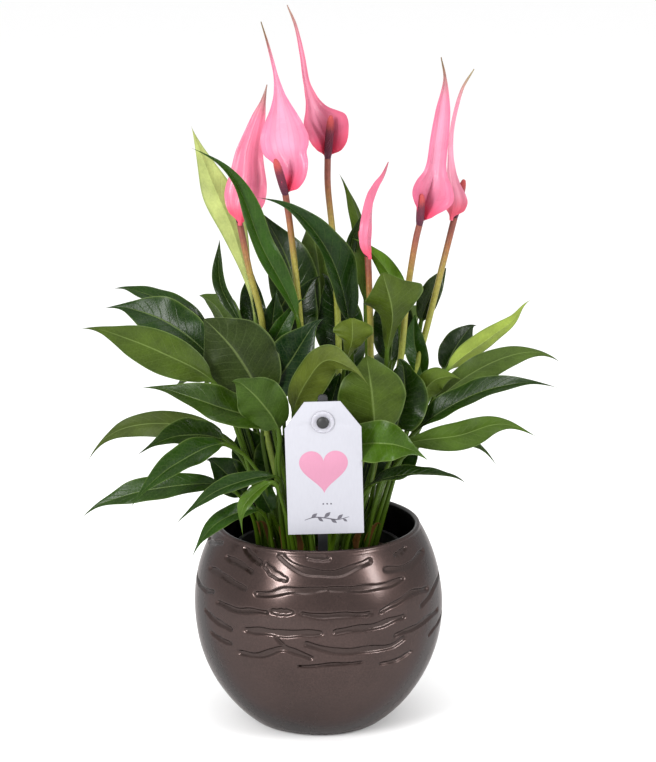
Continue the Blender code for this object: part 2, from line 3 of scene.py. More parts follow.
import bmesh
import bpy
import numpy as np
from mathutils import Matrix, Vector


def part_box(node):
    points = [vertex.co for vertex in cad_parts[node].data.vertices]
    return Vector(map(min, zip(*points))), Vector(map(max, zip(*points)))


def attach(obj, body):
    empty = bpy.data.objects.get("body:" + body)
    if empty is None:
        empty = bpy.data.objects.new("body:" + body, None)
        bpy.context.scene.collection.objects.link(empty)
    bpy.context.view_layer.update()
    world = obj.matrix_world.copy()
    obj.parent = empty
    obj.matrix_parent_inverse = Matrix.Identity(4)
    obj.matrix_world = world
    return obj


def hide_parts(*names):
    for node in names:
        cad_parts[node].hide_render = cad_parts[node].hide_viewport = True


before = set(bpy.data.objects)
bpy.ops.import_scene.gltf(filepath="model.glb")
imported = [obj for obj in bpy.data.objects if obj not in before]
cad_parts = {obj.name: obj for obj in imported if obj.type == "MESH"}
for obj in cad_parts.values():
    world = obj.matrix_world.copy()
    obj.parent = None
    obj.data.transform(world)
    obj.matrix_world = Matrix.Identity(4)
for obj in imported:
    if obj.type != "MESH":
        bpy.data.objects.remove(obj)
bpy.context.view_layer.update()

# Potted anthurium. Everything is in metres; plant rows are in millimetres with heights from the rim.
mm = 0.001
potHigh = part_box("pot")[1]
soilLow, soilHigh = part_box("soil")
rimHeight = potHigh.z
soilTop = soilHigh.z
clearance = 0.3 * mm


def rgb(hexText):
    channels = [int(hexText[i:i + 2], 16) / 255 for i in (1, 3, 5)]
    linear = [c / 12.92 if c <= 0.04045 else ((c + 0.055) / 1.055) ** 2.4 for c in channels]
    return (*linear, 1.0)


def addNode(tree, kind, settings=None, links=None):
    node = tree.nodes.new(kind)
    for key, value in (settings or {}).items():
        if isinstance(key, int) or key in node.inputs:
            node.inputs[key].default_value = value
        else:
            setattr(node, key, value)
    for key, source in (links or {}).items():
        socket = source.outputs[0] if isinstance(source, bpy.types.Node) else source
        tree.links.new(socket, node.inputs[key])
    return node


def startMaterial(name, settings):
    made = bpy.data.materials.new(name)
    made.use_nodes = True
    shader = made.node_tree.nodes["Principled BSDF"]
    for key, value in settings.items():
        shader.inputs[key].default_value = value
    return made, made.node_tree, shader


def finishSurface(tree, shader, colour, gloss, height, strength, depth):
    # colour, roughness and fine relief go to the shader; depth is in millimetres
    tree.links.new(colour, shader.inputs["Base Color"])
    if gloss:
        tree.links.new(gloss.outputs[0], shader.inputs["Roughness"])
    bump = addNode(tree, "ShaderNodeBump", {"Strength": strength, "Distance": depth * mm}, {"Height": height})
    tree.links.new(bump.outputs[0], shader.inputs["Normal"])


def bladeNodes(tree):
    # where a point lies on a blade: its place, share of the length, distance from the midrib and side,
    # and the colours painted on its top, underside and stalk
    place = addNode(tree, "ShaderNodeTexCoord").outputs["Object"]
    parts = addNode(tree, "ShaderNodeSeparateXYZ", None,
                    {0: addNode(tree, "ShaderNodeUVMap", {"uv_map": "blade"})})
    centred = addNode(tree, "ShaderNodeMath", {"operation": "MULTIPLY_ADD", 1: 2.0, 2: -1.0},
                      {0: parts.outputs[0]})
    outward = addNode(tree, "ShaderNodeMath", {"operation": "ABSOLUTE"}, {0: centred})
    upper = addNode(tree, "ShaderNodeAttribute", {"attribute_name": "upper"}).outputs["Fac"]
    tones = [addNode(tree, "ShaderNodeAttribute", {"attribute_name": n}).outputs["Color"]
             for n in ("topTone", "underTone", "stalkTone")]
    return place, parts.outputs[1], outward, upper, tones


def unit(vector):
    return np.asarray(vector, float) / (np.linalg.norm(vector) + 1e-12)


def scaleFor(size):
    # a pattern's scale from the real size of one grain, cell or cloud in millimetres
    return 1 / (size * mm)


def addObject(name, data):
    piece = bpy.data.objects.new(name, data)
    bpy.context.scene.collection.objects.link(piece)
    return piece


def plainMesh(source):
    # the source's finished shape as a mesh of its own
    graph = bpy.context.evaluated_depsgraph_get()
    return bpy.data.meshes.new_from_object(source.evaluated_get(graph), depsgraph=graph)


def ringFaces(rows, around, turned=False):
    # faces between rings of points, with a cap on each end
    faces = []
    for low in range(0, (rows - 1) * around, around):
        high = low + around
        for j in range(around):
            k = (j + 1) % around
            faces.append((low + j, high + j, high + k, low + k) if turned
                         else (low + j, low + k, high + k, high + j))
    first, last = tuple(range(around)), tuple(range((rows - 1) * around, rows * around))
    return faces + ([first, last[::-1]] if turned else [first[::-1], last])


def meshPiece(name, points, faces, material, smooth=True, sharp=48):
    mesh = bpy.data.meshes.new(name)
    mesh.from_pydata(np.asarray(points).tolist(), [], faces)
    mesh.materials.append(material)
    if smooth:
        mesh.polygons.foreach_set("use_smooth", [True] * len(mesh.polygons))
        mesh.set_sharp_from_angle(angle=math.radians(sharp))
    mesh.update()
    return addObject(name, mesh)


def storeValues(piece, **rows):
    # one number, or one colour, for each point
    for key, values in rows.items():
        values = np.asarray(values, np.float32)
        if values.ndim == 2:
            layer = piece.data.attributes.new(key, "FLOAT_COLOR", "POINT")
            layer.data.foreach_set("color", values.ravel())
        else:
            layer = piece.data.attributes.new(key, "FLOAT", "POINT")
            layer.data.foreach_set("value", values)


def storeUv(piece, name, places):
    mesh = piece.data
    layer = mesh.uv_layers.new(name=name)
    corners = np.empty(len(mesh.loops), np.int32)
    mesh.loops.foreach_get("vertex_index", corners)
    layer.data.foreach_set("uv", np.asarray(places, np.float32)[corners].ravel())


def settle(piece, slotName, *nodes):
    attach(piece, "root")
    if nodes:
        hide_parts(*nodes)
    return piece


def smoothLine(points, steps=24):
    # a centripetal curve through the points, and where each point lies as a share of its length
    p = np.asarray(points, float)
    p = np.vstack([2 * p[0] - p[1], p, 2 * p[-1] - p[-2]])
    knots = np.concatenate([[0], np.cumsum(np.sqrt(np.linalg.norm(np.diff(p, axis=0), axis=1)))])
    rows = []
    for i in range(1, len(p) - 2):
        t = np.linspace(knots[i], knots[i + 1], steps, endpoint=False)[:, None]

        def mix(left, right, low, high):
            span = knots[high] - knots[low]
            return (knots[high] - t) / span * left + (t - knots[low]) / span * right

        first = mix(p[i - 1], p[i], i - 1, i)
        second = mix(p[i], p[i + 1], i, i + 1)
        third = mix(p[i + 1], p[i + 2], i + 1, i + 2)
        rows.append(mix(mix(first, second, i - 1, i + 1), mix(second, third, i, i + 2), i, i + 1))
    line = np.vstack(rows + [p[-2][None]])
    length = np.concatenate([[0], np.cumsum(np.linalg.norm(np.diff(line, axis=0), axis=1))])
    marks = [length[i * steps] / length[-1] for i in range(len(points))]
    return line, length / length[-1], marks


def along(line, shares, wanted):
    return np.stack([np.interp(wanted, shares, line[:, axis]) for axis in range(3)], axis=1)


# Stage, lights and camera

stage = {
    "floorColour": "#f4f4f4",
    "worldColour": "#ffffff",
    "worldStrength": 1.08,
    "cameraPlace": (6.2 * mm, -1.528, 0.603),
    "cameraPitch": 76,
    "lens": 117.9,
    "aim": (0, 0, 0.16),
    # name, degrees round from the front, degrees up, distance, size and watts
    "softboxes": [("softboxLeft", -38, 24, 1.7, (0.27, 0.8), 30),
                  ("softboxRight", 58, 22, 1.7, (0.24, 0.8), 18),
                  ("softboxTop", 8, 82, 2.0, (1.0, 0.9), 10)],
}

world = bpy.data.worlds.new("softWhiteRoom")
bpy.context.scene.world = world
world.use_nodes = True
worldShade = world.node_tree.nodes["Background"]
worldShade.inputs["Color"].default_value = rgb(stage["worldColour"])
worldShade.inputs["Strength"].default_value = stage["worldStrength"]
bpy.context.scene.view_settings.view_transform = "Standard"

floorPaint, floorTree, floorShader = startMaterial("mattWhitePaper", {"Roughness": 0.9, "IOR": 1.45})
floorGrain = addNode(floorTree, "ShaderNodeTexNoise", {"Scale": scaleFor(25), "Detail": 2.0},
                     {"Vector": addNode(floorTree, "ShaderNodeTexCoord").outputs["Object"]})
floorTone = addNode(floorTree, "ShaderNodeMapRange", {"To Min": 0.985, "To Max": 1.0}, {0: floorGrain})
floorMix = addNode(floorTree, "ShaderNodeMix",
                   {"data_type": "RGBA", "blend_type": "MULTIPLY", 0: 1.0, 6: rgb(stage["floorColour"])},
                   {7: floorTone})
floorTree.links.new(floorMix.outputs[2], floorShader.inputs["Base Color"])
floor = meshPiece("floor", [(-9, -4, 0), (9, -4, 0), (9, 14, 0), (-9, 14, 0)], [(0, 1, 2, 3)],
                  floorPaint, smooth=False)

for name, azimuth, elevation, distance, boxSize, power in stage["softboxes"]:
    a, e = math.radians(azimuth), math.radians(elevation)
    away = Vector((math.sin(a) * math.cos(e), -math.cos(a) * math.cos(e), math.sin(e)))
    light = bpy.data.lights.new(name, "AREA")
    light.shape = "RECTANGLE"
    light.size, light.size_y = boxSize
    light.energy = power
    lamp = addObject(name, light)
    lamp.location = Vector(stage["aim"]) + away * distance
    lamp.rotation_euler = away.to_track_quat("Z", "Y").to_euler()

lens = bpy.data.cameras.new("camera")
lens.lens = stage["lens"]
lens.sensor_width = 36
lens.clip_end = 60
camera = addObject("camera", lens)
camera.location = stage["cameraPlace"]
camera.rotation_euler = (math.radians(stage["cameraPitch"]), 0, 0)
bpy.context.scene.camera = camera
print("stage ready")

# Cachepot: thrown ball with a low relief of cut grooves, fired with a bronze lustre glaze

pot = {
    "radius": potHigh.x,
    "height": rimHeight,
    "belly": 0.585,
    "ball": 0.69,
    "wall": 3.5 * mm,
    "floorThickness": 4 * mm,
    "aroundSteps": 512,
    "reliefFrom": 50 * mm,
    "reliefRows": 142,
    "glaze": "#382b28",
    # the darker tone is painted shade laid in the cuts
    "cutShadeTone": "#2d2421",
    "insideBlack": "#0d0c0d",
    "grooveDepth": 1.45 * mm,
}
# each groove: degrees round from the front and height in mm for its points, then its width in mm
grooves = [
    ([(-21, 127), (-14, 122.5), (-5, 118.5), (5, 117.5), (16, 119), (28, 123)], 4.2),
    ([(-5, 125.8), (6, 126)], 3.0),
    ([(-44, 126.5), (-37, 123.5), (-31, 121)], 3.4),
    ([(-28, 120), (-22, 115.5), (-16, 113.5)], 4.2),
    ([(-55, 119), (-45, 117.5), (-35, 115)], 3.2),
    ([(-66, 108), (-50, 107.5), (-37, 104)], 3.4),
    ([(-30, 103), (-22, 104.5), (-13, 107.5), (3, 108.5)], 4.0),
    ([(5, 108.5), (13, 108.5), (25, 107), (35, 107.5), (45, 108)], 3.8),
    ([(-53, 91), (-40, 91), (-32, 92), (-24, 93)], 3.0),
    ([(-21, 94.5), (-12, 94)], 4.0),
    ([(-7, 94), (4, 93), (24, 92.5)], 3.2),
    ([(30, 92), (38, 95.5), (48, 98), (62, 97)], 3.2),
    ([(-34, 80), (-25, 80.5), (-10, 81.5), (1, 82)], 4.8),
    ([(8, 83), (24, 84), (34, 85), (42, 86)], 4.2),
    ([(-5, 75), (3, 71.5), (12, 70), (26, 69), (36, 69), (42, 71)], 4.4),
    ([(-38, 63), (-30, 64), (-22, 67.5), (-15, 71), (-6, 68), (-3, 66)], 4.0),
    ([(-19, 78), (-16, 74), (-13, 71.5)], 2.2),
    ([(-9, 60), (4, 61), (20, 61.5)], 2.2),
    ([(30, 57.5), (38, 58), (48, 60)], 2.6),
    ([(-63, 82), (-53, 79.5), (-43, 77)], 3.2),
    ([(-57, 69.5), (-43, 67.5)], 2.6),
    ([(36, 116), (46, 114), (58, 115), (70, 118)], 3.8),
    ([(45, 122.5), (55, 124)], 2.6),
    ([(37, 75), (52, 77), (72, 79)], 3.2),
    ([(55, 88), (66, 93), (84, 97)], 3.0),
    ([(62, 66), (76, 70), (90, 72)], 2.6),
    ([(-86, 96), (-72, 94), (-58, 96)], 2.8),
    ([(-90, 118), (-76, 121), (-64, 124)], 2.8),
]


def ballRadius(height, inset=0.0):
    share = (height - pot["height"] * pot["belly"]) / (pot["height"] * pot["ball"] - inset)
    return (pot["radius"] - inset) * np.sqrt(np.maximum(0.0, 1 - share * share))


def grooveDepthAt(angles, heights):
    # how deep the relief is cut at each place, 0 on the plain ball and 1 on a groove's floor
    angles, heights = np.meshgrid(angles, heights)
    depth = np.zeros_like(angles)
    bellyArc = pot["radius"] / mm * math.pi / 180
    wave = 0.4 * np.sin(angles * 0.3 + heights * 0.15)
    for far, turn in enumerate((0, 176)):
        for places, width in grooves:
            route = smoothLine([(a * bellyArc, h, 0) for a, h in places], 10)[0][:, :2]
            if far:
                route = route * (-1, 1)  # the far side carries the same cuts the other way round
            centre = (angles - turn + 180) % 360 - 180
            x = centre * bellyArc
            span = np.linalg.norm(np.diff(route, axis=0), axis=1)
            done = np.concatenate([[0], np.cumsum(span)])
            zone = ((x > route[:, 0].min() - 6) & (x < route[:, 0].max() + 6)
                    & (heights > route[:, 1].min() - 6) & (heights < route[:, 1].max() + 6))
            px, py = x[zone], heights[zone] + wave[zone]
            best = np.full(px.shape, 1e9)
            at = np.zeros(px.shape)
            for i in range(len(route) - 1):
                step = route[i + 1] - route[i]
                ahead = (px - route[i, 0]) * step[0] + (py - route[i, 1]) * step[1]
                t = np.clip(ahead / (step @ step), 0, 1)
                gap = np.hypot(px - route[i, 0] - t * step[0], py - route[i, 1] - t * step[1])
                closer = gap < best
                best = np.where(closer, gap, best)
                at = np.where(closer, (done[i] + t * span[i]) / done[-1], at)
            swell = 0.72 + 0.28 * np.sin(np.clip(at, 0, 1) * math.pi) + 0.1 * np.sin(at * 17 + width * 5)
            edge = width / 2 * swell - best
            cut = np.clip(edge / 1.15 + 0.45, 0, 1)
            depth[zone] = np.maximum(depth[zone], cut * cut * (3 - 2 * cut))
    return depth


def buildPot():
    lip = pot["wall"] / 2
    top = pot["height"] - lip
    foot = ballRadius(0) - 1.5 * mm
    outside = [(0.0005, 0.0), (foot * 0.55, 0.0), (foot - 2 * mm, 0.0), (foot - 0.5 * mm, 0.15 * mm),
               (foot + 0.4 * mm, 0.7 * mm)]
    reliefFrom = pot["reliefFrom"] / mm
    low = np.linspace(1.6, reliefFrom, 14)
    relief = np.linspace(reliefFrom, pot["height"] / mm - 3.2, pot["reliefRows"])[1:]
    outside += [(ballRadius(h * mm), h * mm) for h in np.concatenate([low, relief])]
    centre = ballRadius(top) - lip
    turns = np.linspace(-0.25, math.pi, 9)
    rim = [(centre + lip * math.cos(a), top + lip * math.sin(a)) for a in turns]
    inner = np.linspace(top / mm - 4, 11, 12)
    inside = [(ballRadius(h * mm, pot["wall"]), h * mm) for h in inner]
    base = ballRadius(pot["floorThickness"], pot["wall"])
    inside += [(base - 1 * mm, pot["floorThickness"] + 1.2 * mm), (base - 3 * mm, pot["floorThickness"]),
               (base * 0.5, pot["floorThickness"]), (0.0005, pot["floorThickness"])]
    profile = np.array(outside + rim + inside)
    steps = pot["aroundSteps"]
    angles = np.arange(steps) * 360 / steps - 180
    cut = np.zeros((len(profile), steps))
    firstRelief, lastRelief = len(outside) - len(relief) - len(low), len(outside)
    cut[firstRelief:lastRelief] = grooveDepthAt(angles, profile[firstRelief:lastRelief, 1] / mm)
    radians = np.radians(angles)[None, :]
    radius = profile[:, 0:1] - cut * pot["grooveDepth"]
    # a thrown ball is never quite true: a slow swell of a few tenths of a millimetre
    heights = profile[:, 1:2]
    swell = (np.sin(radians * 3 + heights * 60) + np.sin(radians * 5 - heights * 95)) * 0.12 * mm
    skin = np.zeros(len(profile))
    skin[firstRelief:lastRelief] = 1
    radius = radius + swell * skin[:, None] - 0.24 * mm * skin[:, None]
    points = np.stack([radius * np.sin(radians), -radius * np.cos(radians),
                       np.broadcast_to(heights, radius.shape)], axis=2).reshape(-1, 3)
    insideShare = np.zeros(len(profile))
    insideShare[lastRelief + 5:] = 1  # from half way round the rim inwards the surface is coloured near black and is not metallic
    return points, ringFaces(len(profile), steps), cut.ravel(), np.repeat(insideShare, steps)


def lustreGlaze():
    # stoneware under a bronze lustre glaze, fired: a dark metallic skin with a fine sparkle, and painted
    # shade that darkens it in the cuts. The real sparkle is far finer than 1.11 mm and is drawn coarse to
    # show.
    made, tree, shader = startMaterial("bronzeLustreGlaze", {
        "Metallic": 0.82, "IOR": 1.5, "Specular Tint": rgb("#938785"),
        "Coat Weight": 0.34, "Coat Roughness": 0.2})
    place = addNode(tree, "ShaderNodeTexCoord").outputs["Object"]
    cut = addNode(tree, "ShaderNodeAttribute", {"attribute_name": "groove"}).outputs["Fac"]
    inside = addNode(tree, "ShaderNodeAttribute", {"attribute_name": "inside"}).outputs["Fac"]
    cloud = addNode(tree, "ShaderNodeTexNoise", {"Scale": scaleFor(45.5), "Detail": 3.0}, {"Vector": place})
    sparkle = addNode(tree, "ShaderNodeTexNoise", {"Scale": scaleFor(1.11), "Detail": 2.0}, {"Vector": place})
    tone = addNode(tree, "ShaderNodeMapRange", {1: 0.35, 2: 0.65, 3: 0.86, 4: 1.12}, {0: cloud})
    fleck = addNode(tree, "ShaderNodeMapRange", {1: 0.3, 2: 0.7, 3: 0.82, 4: 1.18}, {0: sparkle})
    light = addNode(tree, "ShaderNodeMath", {"operation": "MULTIPLY"}, {0: tone, 1: fleck})
    skin = addNode(tree, "ShaderNodeMix",
                   {"data_type": "RGBA", "blend_type": "MULTIPLY", 0: 1.0, 6: rgb(pot["glaze"])}, {7: light})
    # painted shade: each cut is mixed towards a darker tone by how deep it is cut
    deep = addNode(tree, "ShaderNodeMix", {"data_type": "RGBA", 7: rgb(pot["cutShadeTone"])},
                   {0: addNode(tree, "ShaderNodeMath", {"operation": "MULTIPLY", 1: 0.45}, {0: cut}),
                    6: skin.outputs[2]})
    black = addNode(tree, "ShaderNodeMix", {"data_type": "RGBA", 7: rgb(pot["insideBlack"])},
                    {0: inside, 6: deep.outputs[2]})
    gloss = addNode(tree, "ShaderNodeMapRange", {1: 0.3, 2: 0.7, 3: 0.24, 4: 0.33}, {0: cloud})
    insideGloss = addNode(tree, "ShaderNodeMix", {"data_type": "FLOAT", 3: 0.6}, {0: inside, 2: gloss})
    metal = addNode(tree, "ShaderNodeMapRange", {3: 0.82, 4: 0.0}, {0: inside})
    tree.links.new(metal.outputs[0], shader.inputs["Metallic"])
    orangePeel = addNode(tree, "ShaderNodeTexNoise", {"Scale": scaleFor(3.85), "Detail": 2.0},
                         {"Vector": place})
    finishSurface(tree, shader, black.outputs[2], insideGloss, orangePeel, 0.35, 0.12)
    return made


potPoints, potFaces, potCut, potInside = buildPot()
potPiece = meshPiece("ballPot", potPoints, potFaces, lustreGlaze(), sharp=70)
storeValues(potPiece, groove=potCut, inside=potInside)
settle(potPiece, "pot_glaze", "pot")
print("pot ready", len(potFaces))

# Peat: crumbs scattered over an uneven bed inside the nursery pot

peat = {
    "crumbs": 2600,
    "crumbSize": 1.5 * mm,
    "seed": 4,
    "dark": "#1d130d",
    "brown": "#4a3220",
    "perlite": "#b9b2a6",
}


def peatMaterial():
    # milled sphagnum peat: dead matt, nearly black where damp, with brown fibre and a few perlite grains
    made, tree, shader = startMaterial("milledPeat", {"Roughness": 0.95, "IOR": 1.4})
    place = addNode(tree, "ShaderNodeTexCoord").outputs["Object"]
    shade = addNode(tree, "ShaderNodeAttribute", {"attribute_name": "shade"}).outputs["Fac"]
    grain = addNode(tree, "ShaderNodeTexNoise", {"Scale": scaleFor(1.43), "Detail": 4.0}, {"Vector": place})
    brown = addNode(tree, "ShaderNodeMix", {"data_type": "RGBA", 6: rgb(peat["dark"]), 7: rgb(peat["brown"])},
                    {0: addNode(tree, "ShaderNodeMapRange", {1: 0.3, 2: 0.75}, {0: grain})})
    pale = addNode(tree, "ShaderNodeMapRange", {1: 0.965, 2: 0.975}, {0: shade})
    mixed = addNode(tree, "ShaderNodeMix", {"data_type": "RGBA", 7: rgb(peat["perlite"])},
                    {0: pale, 6: brown.outputs[2]})
    finishSurface(tree, shader, mixed.outputs[2], None, grain, 0.8, 0.4)
    return made


peatLook = peatMaterial()


def buildPeatBed():
    edge = soilHigh.x
    rings = [0.02, 0.12, 0.25, 0.38, 0.5, 0.62, 0.74, 0.86, 0.95, 0.985]
    steps = 64
    points = []
    for share in rings:
        for j in range(steps):
            a = 2 * math.pi * j / steps
            x, y = edge * share * math.sin(a), -edge * share * math.cos(a)
            lump = math.sin(x * 210 + 1) * math.cos(y * 260) + 0.6 * math.sin(x * 520 + y * 430)
            points.append((x, y, soilTop - 1.2 * mm + lump * 0.8 * mm))
    for share, height in ((0.985, soilTop - 4 * mm), (0.6, soilLow.z + 1 * mm), (0.02, soilLow.z + 0.5 * mm)):
        for j in range(steps):
            a = 2 * math.pi * j / steps
            points.append((edge * share * math.sin(a), -edge * share * math.cos(a), height))
    faces = [tuple(range(steps))]
    rows = len(points) // steps
    for i in range(rows - 1):
        for j in range(steps):
            k = (j + 1) % steps
            faces.append((i * steps + j, (i + 1) * steps + j, (i + 1) * steps + k, i * steps + k))
    faces.append(tuple(reversed(range((rows - 1) * steps, rows * steps))))
    return points, faces, len(rings) * steps


def groupStart(name, inputs):
    tree = bpy.data.node_groups.new(name, "GeometryNodeTree")
    tree.interface.new_socket("Geometry", in_out="INPUT", socket_type="NodeSocketGeometry")
    tree.interface.new_socket("Geometry", in_out="OUTPUT", socket_type="NodeSocketGeometry")
    for label, kind, value in inputs:
        socket = tree.interface.new_socket(label, in_out="INPUT", socket_type=kind)
        if value is not None:
            socket.default_value = value
    return tree, addNode(tree, "NodeGroupInput"), addNode(tree, "NodeGroupOutput")


def runNodes(source, tree, name, values):
    # runs the tree on the source object and keeps the result as a plain mesh
    change = source.modifiers.new("make", "NODES")
    change.node_group = tree
    for item in tree.interface.items_tree:
        if item.in_out == "INPUT" and item.name in values:
            change[item.identifier] = values[item.name]
    mesh = plainMesh(source)
    source.modifiers.remove(change)
    mesh.name = name
    return addObject(name, mesh)


def crumbTree():
    tree, given, made = groupStart("peatCrumbs", [
        ("Amount", "NodeSocketInt", 100), ("Size", "NodeSocketFloat", 0.001),
        ("Seed", "NodeSocketInt", 0), ("Material", "NodeSocketMaterial", None)])
    spots = addNode(tree, "GeometryNodeDistributePointsOnFaces", {"distribute_method": "RANDOM"},
                    {"Mesh": given.outputs["Geometry"], "Density": given.outputs["Amount"],
                     "Seed": given.outputs["Seed"]})
    crumb = addNode(tree, "GeometryNodeMeshIcoSphere", {"Subdivisions": 1}, {"Radius": given.outputs["Size"]})
    turn = addNode(tree, "FunctionNodeRandomValue", {"data_type": "FLOAT_VECTOR"})
    turn.inputs[1].default_value = (6.28, 6.28, 6.28)
    size = addNode(tree, "FunctionNodeRandomValue", {"data_type": "FLOAT_VECTOR"},
                   {"Seed": given.outputs["Seed"]})
    size.inputs[0].default_value = (0.35, 0.3, 0.2)
    size.inputs[1].default_value = (1.2, 0.9, 0.6)
    shade = addNode(tree, "FunctionNodeRandomValue", {"data_type": "FLOAT", "Seed": 9})
    copies = addNode(tree, "GeometryNodeInstanceOnPoints", None,
                     {"Points": spots, "Instance": crumb, "Rotation": turn, "Scale": size})
    marked = addNode(tree, "GeometryNodeStoreNamedAttribute",
                     {"data_type": "FLOAT", "domain": "INSTANCE", "Name": "shade"},
                     {"Geometry": copies, "Value": shade.outputs[1]})
    real = addNode(tree, "GeometryNodeRealizeInstances", None, {"Geometry": marked})
    painted = addNode(tree, "GeometryNodeSetMaterial", None,
                      {"Geometry": real, "Material": given.outputs["Material"]})
    tree.links.new(painted.outputs[0], made.inputs["Geometry"])
    return tree


bedPoints, bedFaces, topPoints = buildPeatBed()
peatBed = meshPiece("peatBed", bedPoints, bedFaces, peatLook)
storeValues(peatBed, shade=np.full(len(bedPoints), 0.3))
surface = meshPiece("peatSurface", bedPoints[:topPoints], [f for f in bedFaces if max(f) < topPoints],
                    peatLook)
soilArea = math.pi * soilHigh.x ** 2
crumbs = runNodes(surface, crumbTree(), "peatCrumbs", {
    "Amount": int(peat["crumbs"] / soilArea), "Size": peat["crumbSize"], "Seed": peat["seed"],
    "Material": peatLook})
bpy.data.objects.remove(surface)
settle(peatBed, "peat", "soil")
settle(crumbs, "peat")
print("peat ready", len(crumbs.data.polygons))


def mouldedPlastic(name, hexText, roughness):
    # injection-moulded polypropylene: a spark-eroded texture and a low, broad shine. The texture is drawn
    # several times coarser than the real one so that it shows.
    made, tree, shader = startMaterial(name, {"IOR": 1.49, "Roughness": roughness})
    place = addNode(tree, "ShaderNodeTexCoord").outputs["Object"]
    grain = addNode(tree, "ShaderNodeTexNoise", {"Scale": scaleFor(0.714), "Detail": 2.0}, {"Vector": place})
    cloud = addNode(tree, "ShaderNodeTexNoise", {"Scale": scaleFor(16.7), "Detail": 2.0}, {"Vector": place})
    tone = addNode(tree, "ShaderNodeMapRange", {1: 0.3, 2: 0.7, 3: 0.8, 4: 1.2}, {0: cloud})
    mixed = addNode(tree, "ShaderNodeMix",
                    {"data_type": "RGBA", "blend_type": "MULTIPLY", 0: 1.0, 6: rgb(hexText)}, {7: tone})
    gloss = addNode(tree, "ShaderNodeMapRange", {1: 0.3, 2: 0.7, 3: roughness - 0.06, 4: roughness + 0.08},
                    {0: cloud})
    finishSurface(tree, shader, mixed.outputs[2], gloss, grain, 0.4, 0.08)
    return made


blackPlastic = mouldedPlastic("blackPolypropylene", "#0f1011", 0.48)
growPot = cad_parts["grow_pot"]
growPot.data.materials.clear()
growPot.data.materials.append(blackPlastic)

# Leaves: one loft each, a round stalk that opens into a thin blade folded along its midrib

leafShape = {
    "around": 32,
    "stalkRows": 14,
    "bladeRows": 52,
    "stalkRadius": 1.6 * mm,
    "bladeThickness": 0.55 * mm,
    "ribHeight": 1.1 * mm,
    "ribWidth": 1.1 * mm,
    "tipHook": 5.0,
    "marginWave": 1.7,
    "wavesAlong": 1.7,
    "widthShare": 1.09,  # blades look narrower once they are folded
}


def plantPoint(point):
    return np.array((point[0] * mm, point[1] * mm, rimHeight + point[2] * mm))


def footPoint(place):
    return np.array((place[0] * mm, place[1] * mm, soilTop + clearance - 0.8 * mm))


def spread(rows, t):
    # a value along the blade from rows of (share, value), eased so that no corner shows
    if not hasattr(rows, "__len__"):
        return np.full(len(t), float(rows))
    rows = np.asarray(rows, float)
    fine = np.linspace(0, 1, 201)
    values = np.interp(fine, rows[:, 0], rows[:, 1])
    padded = np.concatenate([np.full(6, values[0]), values, np.full(6, values[-1])])
    eased = np.convolve(padded, np.hanning(15)[1:-1] / np.hanning(15).sum(), mode="valid")
    return np.interp(t, fine, eased)


